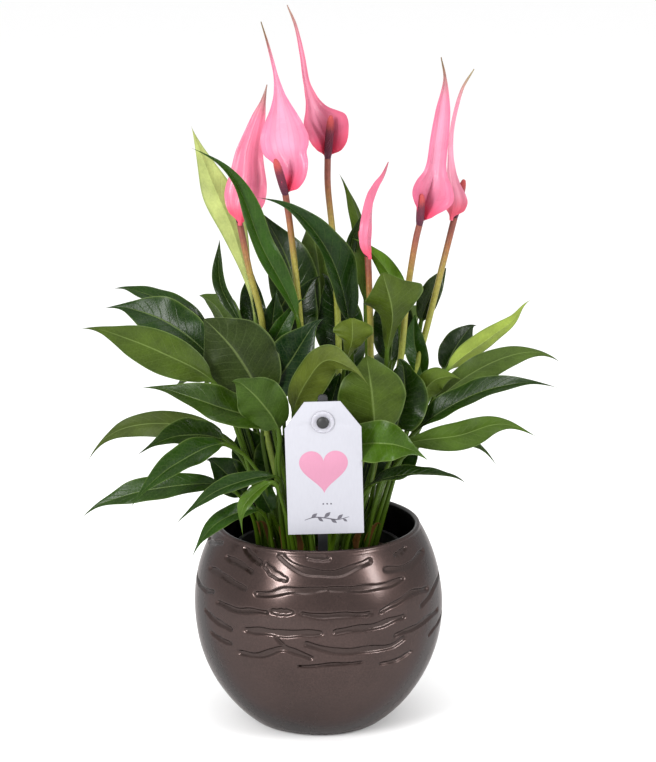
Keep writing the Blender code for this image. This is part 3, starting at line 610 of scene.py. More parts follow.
def loft(name, stalk, blade, half, face, material, peak=0.4, taper=1.4, fold=20, twist=0, lobe=0.0,
         blendShare=0.1, edgePower=1.35, thickness=leafShape["bladeThickness"],
         stalkRadius=leafShape["stalkRadius"],
         rib=1.0, wave=leafShape["marginWave"], ripple=leafShape["wavesAlong"], sides=None,
         stalkRows=leafShape["stalkRows"], bladeRows=leafShape["bladeRows"], hook=leafShape["tipHook"],
         pleat=0.0, seed=0):
    around = leafShape["around"]
    line, shares, marks = smoothLine(list(stalk) + list(blade))
    start = marks[len(stalk)]
    share = np.linspace(0, 1, bladeRows + 1)
    spots = np.concatenate([np.linspace(0, start, stalkRows, endpoint=False), start + (1 - start) * share])
    rows = along(line, shares, spots)
    # the drip tip hooks down and to one side
    bend = np.clip((share - 0.8) / 0.2, 0, 1)[:, None] ** 2 * hook * mm
    rows[stalkRows:] += bend * np.array((0.5 * math.sin(seed * 2.1), 0.4 * math.cos(seed * 1.7), -0.8))
    course = np.gradient(rows, axis=0)
    course /= np.linalg.norm(course, axis=1)[:, None]
    if stalkRows > 1:
        course[0] = (0, 0, 1)
    tops = np.zeros_like(rows)
    middle = stalkRows + int(bladeRows * 0.45)
    for order in (range(middle, len(rows)), range(middle, -1, -1)):
        top = np.asarray(face, float)
        for i in order:
            top = unit(top - (top @ course[i]) * course[i])
            tops[i] = top
    t = np.concatenate([np.zeros(stalkRows), share])
    turn = (np.radians(spread(twist, t)) * (t - 0.45))[:, None]
    side = np.cross(course, tops)
    up = tops * np.cos(turn) + side * np.sin(turn)
    side = np.cross(course, up)
    j = np.arange(around)
    over = j <= around // 2
    even = np.where(over, -1 + 4 * j / around, 3 - 4 * j / around)
    across = np.sign(even) * np.abs(even) ** edgePower
    # the two halves fold a little more and less along the leaf
    lean = np.radians(spread(fold, t) * (1 + 0.22 * np.sin(t * 7 + seed * 1.3)))
    rise = taper * peak / (1 - peak)

    def outline(x):
        return np.maximum(x, 0.0) ** rise * np.maximum(1 - x, 0.0) ** taper

    # the blade narrows into a drip tip
    nearTip = np.clip((t - 0.62) / 0.33, 0, 1)
    reach = half * outline(t) / outline(peak) * (1 - 0.42 * nearTip * nearTip * (3 - 2 * nearTip))
    minus = plus = reach * np.cos(lean)
    if sides is not None:
        sides = np.asarray(sides, float)
        minus = spread(sides[:, :2], t) * mm
        plus = spread(sides[:, (0, 2)], t) * mm
    width = np.where(across[None, :] < 0, minus[:, None], plus[:, None])
    spanOut = np.abs(across)[None, :] * width
    bulge = np.abs(across) * (1.3 - 0.3 * np.abs(across))
    lift = width * np.tan(lean)[:, None] * bulge[None, :]
    # the margin waves a little, each side in its own time
    sideStep = np.where(across < 0, 0.0, 1.9)[None, :]
    waving = np.sin((t[:, None] * ripple + seed * 0.37) * 2 * math.pi + sideStep)
    waving = waving + 0.5 * np.sin((t[:, None] * ripple * 2.3 + seed * 0.71) * 2 * math.pi + 2 * sideStep)
    lift = lift + wave * mm * waving * (across ** 2)[None, :] * np.clip(width / (12 * mm), 0, 1.2)
    # long furrows run up a spathe between its veins
    furrow = np.cos(across * 3 * math.pi)[None, :] * np.clip(width / (9 * mm), 0, 1)
    furrow = furrow * np.clip(t / 0.15, 0, 1)[:, None]
    lift = lift + pleat * mm * furrow * (1 - across ** 4)[None, :]
    thin = np.clip((1 - t) / 0.08, 0.3, 1)[:, None]
    nearEdge = np.sqrt(np.clip(1 - across ** 4, 0, 1))[None, :]
    ribShape = np.exp(-(spanOut / leafShape["ribWidth"]) ** 2) * (1 - 0.8 * t[:, None]) * rib
    upperSide = (thickness / 2 * nearEdge * thin) - ribShape * 0.3 * mm * nearEdge
    lowerSide = -(thickness / 2 * nearEdge * thin) - ribShape * leafShape["ribHeight"] * thin
    skin = np.where(over[None, :], upperSide, lowerSide)
    skin[:, np.abs(across) > 0.999] = 0
    nearFoot = np.maximum(0.0, 1 - t[:, None] / 0.45) ** 1.5
    back = -lobe * spanOut / np.maximum(np.cos(lean)[:, None], 0.3) * nearFoot
    flat = (side[:, None, :] * (spanOut * np.sign(across + 1e-9))[:, :, None]
            + up[:, None, :] * (lift + skin)[:, :, None] + course[:, None, :] * back[:, :, None])
    angle = math.pi - 2 * math.pi * j / around
    down = np.linspace(0, 1, stalkRows, endpoint=False) if stalkRows > 1 else np.zeros(1)
    knee = 0.35 * np.exp(-((down - 0.96) / 0.05) ** 2)  # the stalk swells where the blade starts
    girth = np.concatenate([1.3 - 0.55 * np.clip(down / 0.5, 0, 1) + knee,
                            np.full(bladeRows + 1, 0.9)])[:, None, None] * stalkRadius
    if stalkRows == 1:
        girth[:] = stalkRadius
    sideways, upwards = np.cos(angle)[None, :, None], np.sin(angle)[None, :, None]
    ring = (side[:, None, :] * sideways + up[:, None, :] * upwards) * girth
    blend = np.clip(t / blendShare, 0, 1)
    blend = blend * blend * (3 - 2 * blend)
    points = rows[:, None, :] + ring * (1 - blend)[:, None, None] + flat * blend[:, None, None]
    count = len(rows)
    piece = meshPiece(name, points.reshape(-1, 3), ringFaces(count, around), material, sharp=60)
    v = np.concatenate([np.linspace(-1, 0, stalkRows, endpoint=False), share])
    uv = np.stack([np.broadcast_to((across + 1) / 2, (count, around)),
                   np.broadcast_to(v[:, None], (count, around))], axis=2)
    storeUv(piece, "blade", uv.reshape(-1, 2))
    upper = np.where(over, 1.0, 0.0)
    upper[np.abs(across) > 0.999] = 0.5
    storeValues(piece, upper=np.tile(upper, count), stalk=np.repeat(1 - blend, around))
    return piece


def paintBlade(piece, topHex, underHex, stalkHex, depth, blue=1.0):
    # depth darkens the pigments so that the sheen on top brings them back up
    count = len(piece.data.vertices)
    shade = np.array((depth, depth, depth * blue, 1))
    storeValues(piece, topTone=np.tile(rgb(topHex) * shade, (count, 1)),
                underTone=np.tile(rgb(underHex) * shade, (count, 1)),
                stalkTone=np.tile(rgb(stalkHex) * shade, (count, 1)))


def leafMaterial():
    # living leaf: a waxy, glossy upper skin over a paler matt underside, pale veins, cells of 2 to 3 mm
    # between them and a thin clear margin. It lets a little light through.
    made, tree, shader = startMaterial("waxyLeaf", {"IOR": 1.42, "Specular IOR Level": 0.2})
    place, lengthways, outward, upper, tones = bladeNodes(tree)
    stalk = addNode(tree, "ShaderNodeAttribute", {"attribute_name": "stalk"}).outputs["Fac"]
    cloud = addNode(tree, "ShaderNodeTexNoise", {"Scale": scaleFor(13.3), "Detail": 3.0}, {"Vector": place})
    mottle = addNode(tree, "ShaderNodeTexNoise", {"Scale": scaleFor(1.25), "Detail": 3.0}, {"Vector": place})
    base = addNode(tree, "ShaderNodeMix", {"data_type": "RGBA"},
                   {0: upper, 6: tones[1], 7: tones[0]}).outputs[2]
    cloudTone = addNode(tree, "ShaderNodeMapRange", {1: 0.3, 2: 0.7, 3: 0.78, 4: 1.22}, {0: cloud})
    mottleTone = addNode(tree, "ShaderNodeMapRange", {1: 0.3, 2: 0.7, 3: 0.93, 4: 1.07}, {0: mottle})
    tone = addNode(tree, "ShaderNodeMath", {"operation": "MULTIPLY"}, {0: cloudTone, 1: mottleTone})
    skin = addNode(tree, "ShaderNodeMix", {"data_type": "RGBA", "blend_type": "MULTIPLY", 0: 1.0},
                   {6: base, 7: tone}).outputs[2]
    # side veins leave the midrib and sweep forwards to the margin, about twelve on each side
    sweep = addNode(tree, "ShaderNodeMath", {"operation": "MULTIPLY_ADD", 1: -0.16},
                    {0: outward, 2: lengthways})
    bend = addNode(tree, "ShaderNodeMath", {"operation": "MULTIPLY_ADD", 1: 0.05}, {0: cloud, 2: sweep})
    count = addNode(tree, "ShaderNodeMath", {"operation": "MULTIPLY", 1: 13.0}, {0: bend})
    gap = addNode(tree, "ShaderNodeMath", {"operation": "PINGPONG", 1: 0.5}, {0: count})
    vein = addNode(tree, "ShaderNodeMapRange",
                   {"interpolation_type": "SMOOTHSTEP", 1: 0.0, 2: 0.09, 3: 1.0, 4: 0.0}, {0: gap})
    fade = addNode(tree, "ShaderNodeMapRange", {1: 0.55, 2: 1.0, 3: 1.0, 4: 0.25}, {0: outward})
    veinShare = addNode(tree, "ShaderNodeMath", {"operation": "MULTIPLY"}, {0: vein, 1: fade})
    net = addNode(tree, "ShaderNodeTexVoronoi", {"feature": "DISTANCE_TO_EDGE", "Scale": scaleFor(2.38)},
                  {"Vector": place})
    netLine = addNode(tree, "ShaderNodeMapRange", {1: 0.0, 2: 0.12, 3: 1.0, 4: 0.0}, {0: net})
    ribEdge = addNode(tree, "ShaderNodeMapRange", {1: 0.0, 2: 1.0, 3: 0.06, 4: 0.035}, {0: lengthways})
    rib = addNode(tree, "ShaderNodeMapRange", {"interpolation_type": "SMOOTHSTEP", 3: 1.0, 4: 0.0, 1: 0.01},
                  {0: outward, 2: ribEdge})
    paleTone = addNode(tree, "ShaderNodeMix", {"data_type": "RGBA", 0: 0.34, 7: rgb("#a9bf72")},
                       {6: base}).outputs[2]
    veinAmount = addNode(tree, "ShaderNodeMath", {"operation": "MULTIPLY", 1: 0.07}, {0: veinShare})
    veined = addNode(tree, "ShaderNodeMix", {"data_type": "RGBA"},
                     {0: veinAmount, 6: skin, 7: paleTone}).outputs[2]
    netAmount = addNode(tree, "ShaderNodeMath", {"operation": "MULTIPLY", 1: 0.05}, {0: netLine})
    netted = addNode(tree, "ShaderNodeMix", {"data_type": "RGBA"},
                     {0: netAmount, 6: veined, 7: paleTone}).outputs[2]
    ribAmount = addNode(tree, "ShaderNodeMath", {"operation": "MULTIPLY", 1: 0.42}, {0: rib})
    ribbed = addNode(tree, "ShaderNodeMix", {"data_type": "RGBA"},
                     {0: ribAmount, 6: netted, 7: paleTone}).outputs[2]
    edge = addNode(tree, "ShaderNodeMapRange", {1: 0.94, 2: 0.99, 3: 0.0, 4: 0.4}, {0: outward})
    edged = addNode(tree, "ShaderNodeMix", {"data_type": "RGBA"},
                    {0: edge, 6: ribbed, 7: paleTone}).outputs[2]
    whole = addNode(tree, "ShaderNodeMix", {"data_type": "RGBA"},
                    {0: stalk, 6: edged, 7: tones[2]}).outputs[2]
    gloss = addNode(tree, "ShaderNodeMapRange", {3: 0.46, 4: 0.22}, {0: upper})
    uneven = addNode(tree, "ShaderNodeMath", {"operation": "MULTIPLY_ADD", 1: 0.12}, {0: cloud, 2: gloss})
    height = addNode(tree, "ShaderNodeMath", {"operation": "MULTIPLY_ADD", 1: -0.8},
                     {0: veinShare, 2: mottle})
    finishSurface(tree, shader, whole, uneven, height, 0.5, 0.22)
    through = addNode(tree, "ShaderNodeBsdfTranslucent", None, {"Color": whole})
    mixed = addNode(tree, "ShaderNodeMixShader", {0: 0.09}, {1: shader, 2: through})
    tree.links.new(mixed.outputs[0], tree.nodes["Material Output"].inputs["Surface"])
    return made


leafLook = leafMaterial()
darkUnder = "#5b7a35"
darkTop = "#2c5219"
stalkGreen = "#5f8130"
leafCount = 0


def leaf(name, foot, stalk, blade, half, face, top=None, under=None, node=True, stalkHex=stalkGreen,
         slotName=None, depth=0.33, blue=0.33, **shape):
    # foot is (x, y) on the peat, stalk and blade are points up the leaf, half is the blade's half width
    # in millimetres, and face is the way its upper side looks
    global leafCount
    leafCount += 1
    piece = loft("leaf" + "".join(word.capitalize() for word in name.split("_")),
                 [footPoint(foot)] + [plantPoint(point) for point in stalk],
                 [plantPoint(point) for point in blade], half * leafShape["widthShare"] * mm, face, leafLook,
                 seed=leafCount, **shape)
    paintBlade(piece, top or darkTop, under or darkUnder, stalkHex, depth, blue)
    settle(piece, slotName or ("leaf_dark" if top else "leaf_soft"), *(["leaf_" + name] if node else []))
    return piece


# left

leaf("left_pale", (-14, 12), [(-36, 9, 77)], [(-39, 9, 126), (-52, 15, 182), (-67, 24, 216), (-82, 34, 253)],
     9.5, (0.2, 1, -0.3), under="#b3be7c", depth=0.62, blue=0.8, slotName="leaf_pale", peak=0.6, taper=1.6,
     fold=18)
leaf("left_tall", (-8, -2), [(-14, -3, 80)],
     [(-12, -6, 130), (-35, -14, 182), (-51, -18, 223), (-75, -22, 248)],
     8, (0.5, -1, 0.5), top="#3a6622", peak=0.42, fold=30)
leaf("left_narrow", (-24, 16), [(-42, 15, 63)], [(-49, 15, 123), (-62, 25, 149), (-63, 36, 180)],
     4.6, (-0.3, -1, 0.2), top="#2c4a1e", peak=0.45, fold=24)
leaf("left_high_thin", (-24, 6), [(-47, 8, 64)], [(-67, 12, 117), (-98, 28, 137), (-134, 48, 145)],
     7.5, (0.1, -0.8, 0.9), top="#2b5016", peak=0.42)
leaf("left_high_broad", (-28, 2), [(-50, 0, 60)], [(-66, -2, 105), (-95, 8, 128), (-134, 24, 138)],
     14, (0.1, -1, 0.6), top="#214604", peak=0.42, fold=16)
leaf("left_long", (-28, -14), [(-49, -26, 61)], [(-64, -34, 99), (-97, -42, 121), (-144, -52, 142)],
     12, (0, 1, -0.3), under="#57702a", peak=0.4, taper=1.5, fold=12, lobe=0.2)
leaf("left_big", (-20, -8), [(-35, -18, 58)], [(-35, -23, 84), (-51, -27, 117), (-73, -24, 141)],
     22, (0, 1, -0.2), under="#486120", peak=0.45, taper=1.0, fold=12, lobe=0.35, depth=0.19)
leaf("left_mid_dark", (-20, -24), [(-26, -33, 46)], [(-25, -38, 70), (-63, -54, 90), (-104, -74, 110)],
     11.5, (0, -1, 0.8), top="#3c5a21", peak=0.42, fold=18)
leaf("left_mid_soft", (-10, -27), [(-24, -39, 45)], [(-24, -46, 72), (-36, -58, 95), (-52, -68, 113)],
     14, (0.1, 1, -0.3), under="#4a6a2a", peak=0.42, taper=1.15, fold=12, lobe=0.35)
leaf("left_arching", (-36, -2), [(-42, -5, 31)], [(-59, -6, 57), (-94, 0, 64), (-126, 8, 58), (-151, 14, 38)],
     8.5, (0, 1, -0.4), under="#5a6e3c", peak=0.36, taper=1.6, fold=18)
leaf("left_folded", (-33, -7), [(-41, -12, 29)], [(-58, -17, 57), (-86, -25, 63), (-111, -34, 56)],
     10, (0, -0.8, 0.8), top="#2c4a12", peak=0.36, fold=26)
leaf("left_drooping", (-29, -19), [(-35, -26, 35)], [(-57, -31, 59), (-88, -48, 51), (-115, -66, 32)],
     8.8, (0, -0.9, 0.8), top="#2d5212", peak=0.38)
leaf("left_low_long", (-36, -12), [(-43, -16, 11)], [(-58, -22, 29), (-106, -22, 27), (-152, -16, 11)],
     8.5, (0, -0.9, 0.8), top="#33561f", peak=0.42, fold=14)
leaf("left_low_thin", (-16, -31), [(-22, -40, 26)], [(-25, -46, 42), (-59, -60, 39), (-86, -74, 23)],
     5.5, (0, -0.8, 0.8), top="#2b4d22", peak=0.4, fold=18, stalkRadius=1.3 * mm)
leaf("left_over_rim", (-26, -26), [], [(-36, -38, 18), (-61, -54, 16), (-78, -68, 0)],
     6, (0, -0.8, 0.8), top="#345c22", peak=0.4, fold=18, stalkRadius=1.3 * mm)

# middle

leaf("mid_tall_dark", (-2, 22), [(-12, 24, 67)], [(-12, 25, 114), (-18, 34, 158), (-37, 44, 195)],
     15, (0.1, -1, 0.2), top="#223f17", peak=0.38, taper=1.1, fold=14, lobe=0.35)
leaf("mid_crossing", (8, 8), [(21, 6, 65)], [(20, 8, 123), (9, 0, 169), (-11, -12, 200), (-35, -20, 217)],
     12, (0.6, -1, 0.6), top="#234a17", peak=0.36, taper=1.5, fold=28, twist=-20, lobe=0.35)
leaf("mid_needle", (16, 14), [(30, 16, 76)], [(30, 18, 137), (27, 27, 183), (13, 36, 222)],
     6, (-0.7, 1, -0.1), under="#5f7d2c", peak=0.4)
leaf("mid_trumpet", (16, -10), [(41, -14, 70)], [(43, -16, 115), (46, -22, 140), (40, -22, 166)],
     20, (0, 1, -0.15), under="#5a7121", fold=[(0, 60), (0.3, 50), (0.7, 34), (1, 20)], hook=0,
     sides=[(0, 1.5, 1.5), (0.2, 4.5, 4.5), (0.4, 8.5, 8.5), (0.54, 14.5, 14), (0.64, 21, 18), (0.72, 21, 15),
            (0.84, 11, 9), (0.93, 6, 5), (1, 1, 1)])
leaf("mid_small_trumpet", (6, -14), [(13, -24, 79)], [(17, -25, 110), (21, -29, 125), (21, -29, 139)],
     12.5, (0, 1, -0.15), under="#758a36", fold=[(0, 60), (0.3, 50), (0.7, 30), (1, 20)], hook=0,
     sides=[(0, 1.3, 1.3), (0.25, 4, 4), (0.5, 8, 8), (0.66, 12.6, 12.4), (0.78, 12.4, 12), (0.9, 7.5, 7.5),
            (1, 1, 1)],
     stalkRadius=1.3 * mm)
leaf("mid_bright", (20, 14), [(48, 14, 76)], [(52, 15, 128), (45, 18, 157), (21, 19, 184)],
     6.5, (0.6, 1, -0.6), under="#6d9a2b", peak=0.4, fold=24)
leaf("mid_glossy", (-8, -10), [(-27, -12, 57)], [(-30, -13, 84), (-14, -17, 114), (2, -18, 140)],
     15, (-0.2, -1, 0.3), top="#1b3a2c", peak=0.4, lobe=0.35)
leaf("mid_bent", (-2, -25), [(-12, -33, 56)], [(-15, -36, 80), (-6, -41, 103), (6, -47, 117), (33, -64, 109)],
     12.5, (0.2, 1, -0.2), under="#71814a", peak=0.34, taper=1.7, fold=30, lobe=0.35)
leaf("mid_upright", (16, -18), [(34, -32, 43)], [(35, -36, 67), (33, -42, 96), (29, -46, 124)],
     20, (-0.05, 1, 0), under="#59722f", peak=0.4, taper=1.2, fold=12, lobe=0.35)
leaf("mid_front_bright", (5, -31), [(16, -42, 33)], [(20, -42, 59), (43, -51, 65), (66, -70, 63)],
     13.5, (0, -1, 0.5), top="#537b26", peak=0.34, fold=22, lobe=0.35)

# right

leaf("right_dark", (24, -8), [(45, -16, 45)], [(49, -18, 65), (54, -20, 90), (52, -22, 115)],
     14.5, (-0.1, -1, 0.2), top="#21400a", peak=0.4, taper=0.9, fold=14, lobe=0.35)
leaf("right_back_dark", (23, 19), [(68, 19, 62)], [(80, 21, 93), (89, 31, 108), (102, 44, 122)],
     9, (-0.2, -1, 0.3), top="#234019", peak=0.4, fold=16, lobe=0.35)
leaf("right_pale", (29, 7), [(64, 9, 64)], [(81, 9, 96), (109, 15, 117), (125, 22, 128), (134, 28, 143)],
     6.5, (-0.3, 1, -0.2), under="#8fa254", depth=0.6, blue=0.6, slotName="leaf_pale", peak=0.36, fold=24)
leaf("right_long", (34, 3), [(55, -1, 47)], [(72, -3, 77), (102, 0, 100), (131, 6, 109), (157, 14, 104)],
     9, (-0.1, 1, -0.5), under="#5c7743", peak=0.36, taper=1.6)
leaf("right_folded", (30, -4), [(49, -10, 40)],
     [(61, -15, 63), (93, -26, 88), (120, -36, 99), (148, -44, 102)],
     9.5, (0.1, -0.8, 1), top="#27461c", peak=0.36, taper=1.6, fold=26)
leaf("right_wide_low", (28, -12), [(40, -20, 33)],
     [(52, -26, 56), (88, -42, 68), (111, -53, 78), (132, -60, 76)],
     8.5, (0, 1, -0.4), under="#5a7a35", peak=0.45, fold=16)
leaf("right_low_dark", (13, -29), [(25, -34, 19)], [(32, -37, 34), (57, -52, 46), (93, -70, 49)],
     6.5, (0.1, -0.5, 1), top="#1e3a10", peak=0.3, fold=22)

# back

leaf("back_middle", (10, 30), [(12, 36, 40)], [(14, 52, 70), (20, 78, 95), (24, 112, 80)],
     15, (0, 0.5, 1), top="#2f5419", peak=0.4, fold=16, lobe=0.35)
leaf("back_left", (-8, 30), [(-14, 38, 45)], [(-22, 48, 85), (-38, 72, 112), (-52, 98, 106)],
     15, (-0.3, 0.5, 1), top="#27480f", peak=0.4, fold=16, lobe=0.35)
leaf("back_right", (24, 26), [(36, 34, 30)], [(48, 44, 58), (70, 64, 76), (92, 86, 66)],
     13, (0.3, 0.5, 1), top="#335c1d", peak=0.4, fold=16, lobe=0.35)
leaf("back_far_left", (-26, 24), [(-36, 32, 30)], [(-46, 42, 62), (-72, 62, 80), (-100, 82, 66)],
     14, (-0.3, 0.4, 1), top="#2a4f14", peak=0.4, fold=16, lobe=0.35)
print("leaves ready", leafCount)

# More leaves fill the clump, as a full plant carries them

for name, foot, stalk, blade, half, face, top, under, shape in (
        ("fill_back_tall", (10, 26), (20, 26, 73), [(20, 26, 139), (21, 24, 175), (31, 22, 202)], 4.5,
         (0, -1, 0.2), "#2f4a1e", None, {"fold": 26}),
        ("fill_back_right", (26, 34), (60, 40, 74), [(66, 42, 120), (74, 40, 143), (84, 38, 161)], 7,
         (-0.2, -1, 0.2), "#2c421e", None, {}),
        ("fill_right_upright", (35, 6), (58, 10, 60), [(66, 14, 89), (61, 15, 114), (61, 15, 136)], 7,
         (0, -1, 0.2), "#2f5a14", None, {}),
        ("fill_right_soft", (30, -2), (52, -6, 50), [(63, -9, 81), (73, -10, 95), (89, -12, 99)], 8,
         (-0.1, 1, -0.3), None, "#6a8438", {}),
        ("fill_middle", (2, -16), (7, -18, 58), [(7, -18, 75), (10, -18, 89), (15, -18, 105)], 7,
         (0, -1, 0.2), "#1d4212", None, {}),
        ("fill_right_low", (27, -5), (44, -14, 34), [(67, -19, 57), (95, -20, 57), (112, -20, 46)], 4,
         (0, -0.8, 0.8), "#3c5a28", None, {"fold": 26}),
        ("fill_left_low", (-12, -33), (-22, -46, 26), [(-28, -53, 41), (-45, -57, 28), (-48, -58, 12)], 4.5,
         (0, -0.8, 0.8), "#5c8234", None, {}),
        ("fill_left_one", (-18, 24), (-36, 24, 73), [(-38, 24, 113), (-43, 24, 140), (-42, 24, 164)], 8,
         (0.2, -1, 0.1), "#1c3a14", None, {}),
        ("fill_left_two", (-14, 8), (-28, 9, 64), [(-31, 8, 102), (-29, 8, 126), (-26, 8, 153)], 8,
         (0.2, -1, 0.1), "#1f3f1a", None, {}),
        ("fill_left_three", (-12, 2), (-27, -3, 67), [(-33, -5, 104), (-24, -6, 126), (-9, -7, 151)], 6,
         (0.3, -1, 0.3), "#2c5618", None, {}),
        ("fill_far_one", (-4, 34), (-8, 46, 50), [(-10, 60, 90), (-6, 78, 118), (4, 98, 128)], 14,
         (0, 0.6, 1), "#2c5018", None, {"lobe": 0.3}),
        ("fill_far_two", (14, 36), (26, 48, 42), [(36, 62, 74), (52, 80, 92), (66, 96, 92)], 13,
         (0.3, 0.6, 1), "#315c1c", None, {"lobe": 0.3}),
        ("fill_far_three", (-18, 34), (-30, 46, 36), [(-42, 60, 62), (-62, 78, 74), (-80, 92, 66)], 12,
         (-0.3, 0.6, 1), "#27480f", None, {"lobe": 0.3}),
        ("fill_far_four", (2, 26), (2, 32, 90), [(2, 36, 140), (-2, 46, 172), (-8, 60, 192)], 12,
         (0, 0.8, 0.6), "#2b5016", None, {"lobe": 0.3}),
        ("fill_far_five", (20, 30), (38, 38, 62), [(50, 46, 96), (62, 58, 118), (74, 74, 128)], 10,
         (0.2, 0.8, 0.8), "#2f5a1a", None, {}),
        ("fill_far_six", (-24, 28), (-42, 36, 62), [(-52, 42, 100), (-64, 54, 126), (-80, 68, 136)], 11,
         (-0.2, 0.8, 0.8), "#26480f", None, {})):
    leaf(name, foot, [stalk], blade, half, face, top=top, under=under, node=False, **shape)

# real leaves filling the middle of the clump, their tops painted near-black green as painted shade deep
# inside it
for name, foot, stalk, blade, half, face, top in (
        ("core_one", (-20, 10), (-32, 12, 12), [(-36, 12, 22), (-44, 10, 44), (-50, 8, 66)], 13,
         (0.2, -1, 0.3), "#1f3f12"),
        ("core_two", (-12, 4), (-20, 6, 10), [(-23, 6, 20), (-28, 4, 42), (-30, 2, 68)], 13, (0.1, -1, 0.2),
         "#1b3810"),
        ("core_three", (18, 8), (26, 8, 10), [(28, 8, 20), (34, 6, 44), (40, 4, 66)], 13, (-0.1, -1, 0.2),
         "#20420f"),
        ("core_four", (26, 12), (40, 14, 14), [(44, 14, 24), (56, 12, 42), (68, 10, 56)], 11, (-0.2, -1, 0.3),
         "#244a12"),
        ("core_five", (-28, 4), (-42, 4, 8), [(-47, 4, 16), (-60, 2, 32), (-72, 0, 44)], 11, (0.2, -1, 0.5),
         "#234612"),
        ("core_six", (4, 14), (6, 14, 22), [(6, 14, 34), (4, 12, 62), (2, 10, 88)], 14, (0, -1, 0.1),
         "#1a360f"),
        ("core_eight", (8, 20), (14, 24, 60), [(14, 28, 96), (12, 32, 130), (4, 36, 158)], 15, (0, -1, 0.2),
         "#1a3a10"),
        ("core_nine", (30, 22), (42, 26, 60), [(46, 28, 96), (48, 32, 130), (42, 36, 156)], 13,
         (-0.1, -1, 0.2), "#1d3c10"),
        ("core_ten", (-18, 20), (-22, 22, 62), [(-20, 24, 98), (-12, 28, 132), (0, 30, 158)], 13,
         (0.1, -1, 0.2), "#18340f"),
        ("core_eleven", (-14, 12), (-30, 14, 50), [(-38, 14, 80), (-50, 12, 110), (-64, 8, 132)], 15,
         (0.1, -1, 0.3), "#1f4010"),
        ("core_twelve", (22, 4), (36, 4, 40), [(40, 4, 62), (50, 2, 84), (62, -2, 100)], 12, (-0.2, -1, 0.3),
         "#234a12"),
        ("core_seven", (-16, -14), (-26, -22, 4), [(-29, -24, 12), (-36, -26, 28), (-40, -27, 44)], 7,
         (0.2, -1, 0.4), "#2f5a1a")):
    leaf(name, foot, [stalk], blade, half, face, top=top, node=False, fold=16, lobe=0.3)
# dried sheaths stay at the crown, where old leaves came away
sheaths = ((-30, -18, -6, 9), (-34, -8, -9, 7), (-22, -26, -3, 8), (24, -24, 5, 7), (31, -14, 8, 6),
           (-12, -31, -2, 6))
for number, (x, y, across, height) in enumerate(sheaths):
    leaf(f"dry_sheath_{number}", (x, y), [], [(x, y, -14), (x + across * 0.4, y * 1.04, -3),
                                              (x + across, y * 1.1, height)], 3.2, (-x, -y, 8),
         top="#9c6a55", under="#8a5a48", stalkHex="#8a5a48", node=False, fold=40, stalkRadius=1 * mm,
         bladeRows=22)
print("clump filled", leafCount)

# Flowers: a stem, a spadix set with flowerets on a close spiral, and a waxy spathe cupped at its foot

flowerShape = {
    "stemRadius": 2.1 * mm,
    "spadixRadius": 2.6 * mm,
    "flowerets": 330,
    "floweret": 0.72 * mm,
    "spatheThickness": 0.8 * mm,
}


def tube(name, course, radii, material, around=20, rows=64):
    line, shares, _ = smoothLine(course)
    share = np.linspace(0, 1, rows)
    spots = along(line, shares, share)
    aim = np.gradient(spots, axis=0)
    aim /= np.linalg.norm(aim, axis=1)[:, None]
    side = np.cross(aim, (0.2, 1, 0.1))
    side /= np.linalg.norm(side, axis=1)[:, None]
    fore = np.cross(side, aim)
    radius = spread(radii, share)[:, None, None]
    turn = (np.arange(around) * 2 * math.pi / around)[None, :, None]
    points = spots[:, None] + (side[:, None] * np.cos(turn) + fore[:, None] * np.sin(turn)) * radius
    piece = meshPiece(name, points.reshape(-1, 3), ringFaces(rows, around, turned=True), material, sharp=60)
    storeValues(piece, along=np.repeat(share, around))
    return piece


def stemMaterial():
    # flower stalk: smooth and a little waxy, olive low down and flushed red-brown below the flower, with
    # fine streaks along it
    made, tree, shader = startMaterial("waxyFlowerStalk", {"IOR": 1.42, "Roughness": 0.42})
    place = addNode(tree, "ShaderNodeTexCoord").outputs["Object"]
    share = addNode(tree, "ShaderNodeAttribute", {"attribute_name": "along"}).outputs["Fac"]
    stretch = addNode(tree, "ShaderNodeMapping", {"Scale": (1.0, 1.0, 0.06)}, {"Vector": place})
    streak = addNode(tree, "ShaderNodeTexNoise", {"Scale": scaleFor(0.667), "Detail": 3.0},
                     {"Vector": stretch})
    fleck = addNode(tree, "ShaderNodeTexNoise", {"Scale": scaleFor(1.67), "Detail": 2.0}, {"Vector": place})
    moved = addNode(tree, "ShaderNodeMath", {"operation": "MULTIPLY_ADD", 1: 0.08}, {0: streak, 2: share})
    ramp = addNode(tree, "ShaderNodeValToRGB", None, {0: moved})
    stops = ramp.color_ramp.elements
    stops[0].position, stops[0].color = 0.1, rgb("#56702a")
    stops[1].position, stops[1].color = 1.0, rgb("#6d372a")
    for position, hexText in ((0.6, "#778130"), (0.86, "#7d742c"), (0.96, "#7b4c2a")):
        stop = stops.new(position)
        stop.color = rgb(hexText)
    tone = addNode(tree, "ShaderNodeMapRange", {1: 0.3, 2: 0.7, 3: 0.82, 4: 1.15}, {0: fleck})
    mixed = addNode(tree, "ShaderNodeMix", {"data_type": "RGBA", "blend_type": "MULTIPLY", 0: 1.0},
                    {6: ramp.outputs[0], 7: tone})
    gloss = addNode(tree, "ShaderNodeMapRange", {1: 0.3, 2: 0.7, 3: 0.34, 4: 0.52}, {0: fleck})
    finishSurface(tree, shader, mixed.outputs[2], gloss, streak, 0.5, 0.12)
    return made


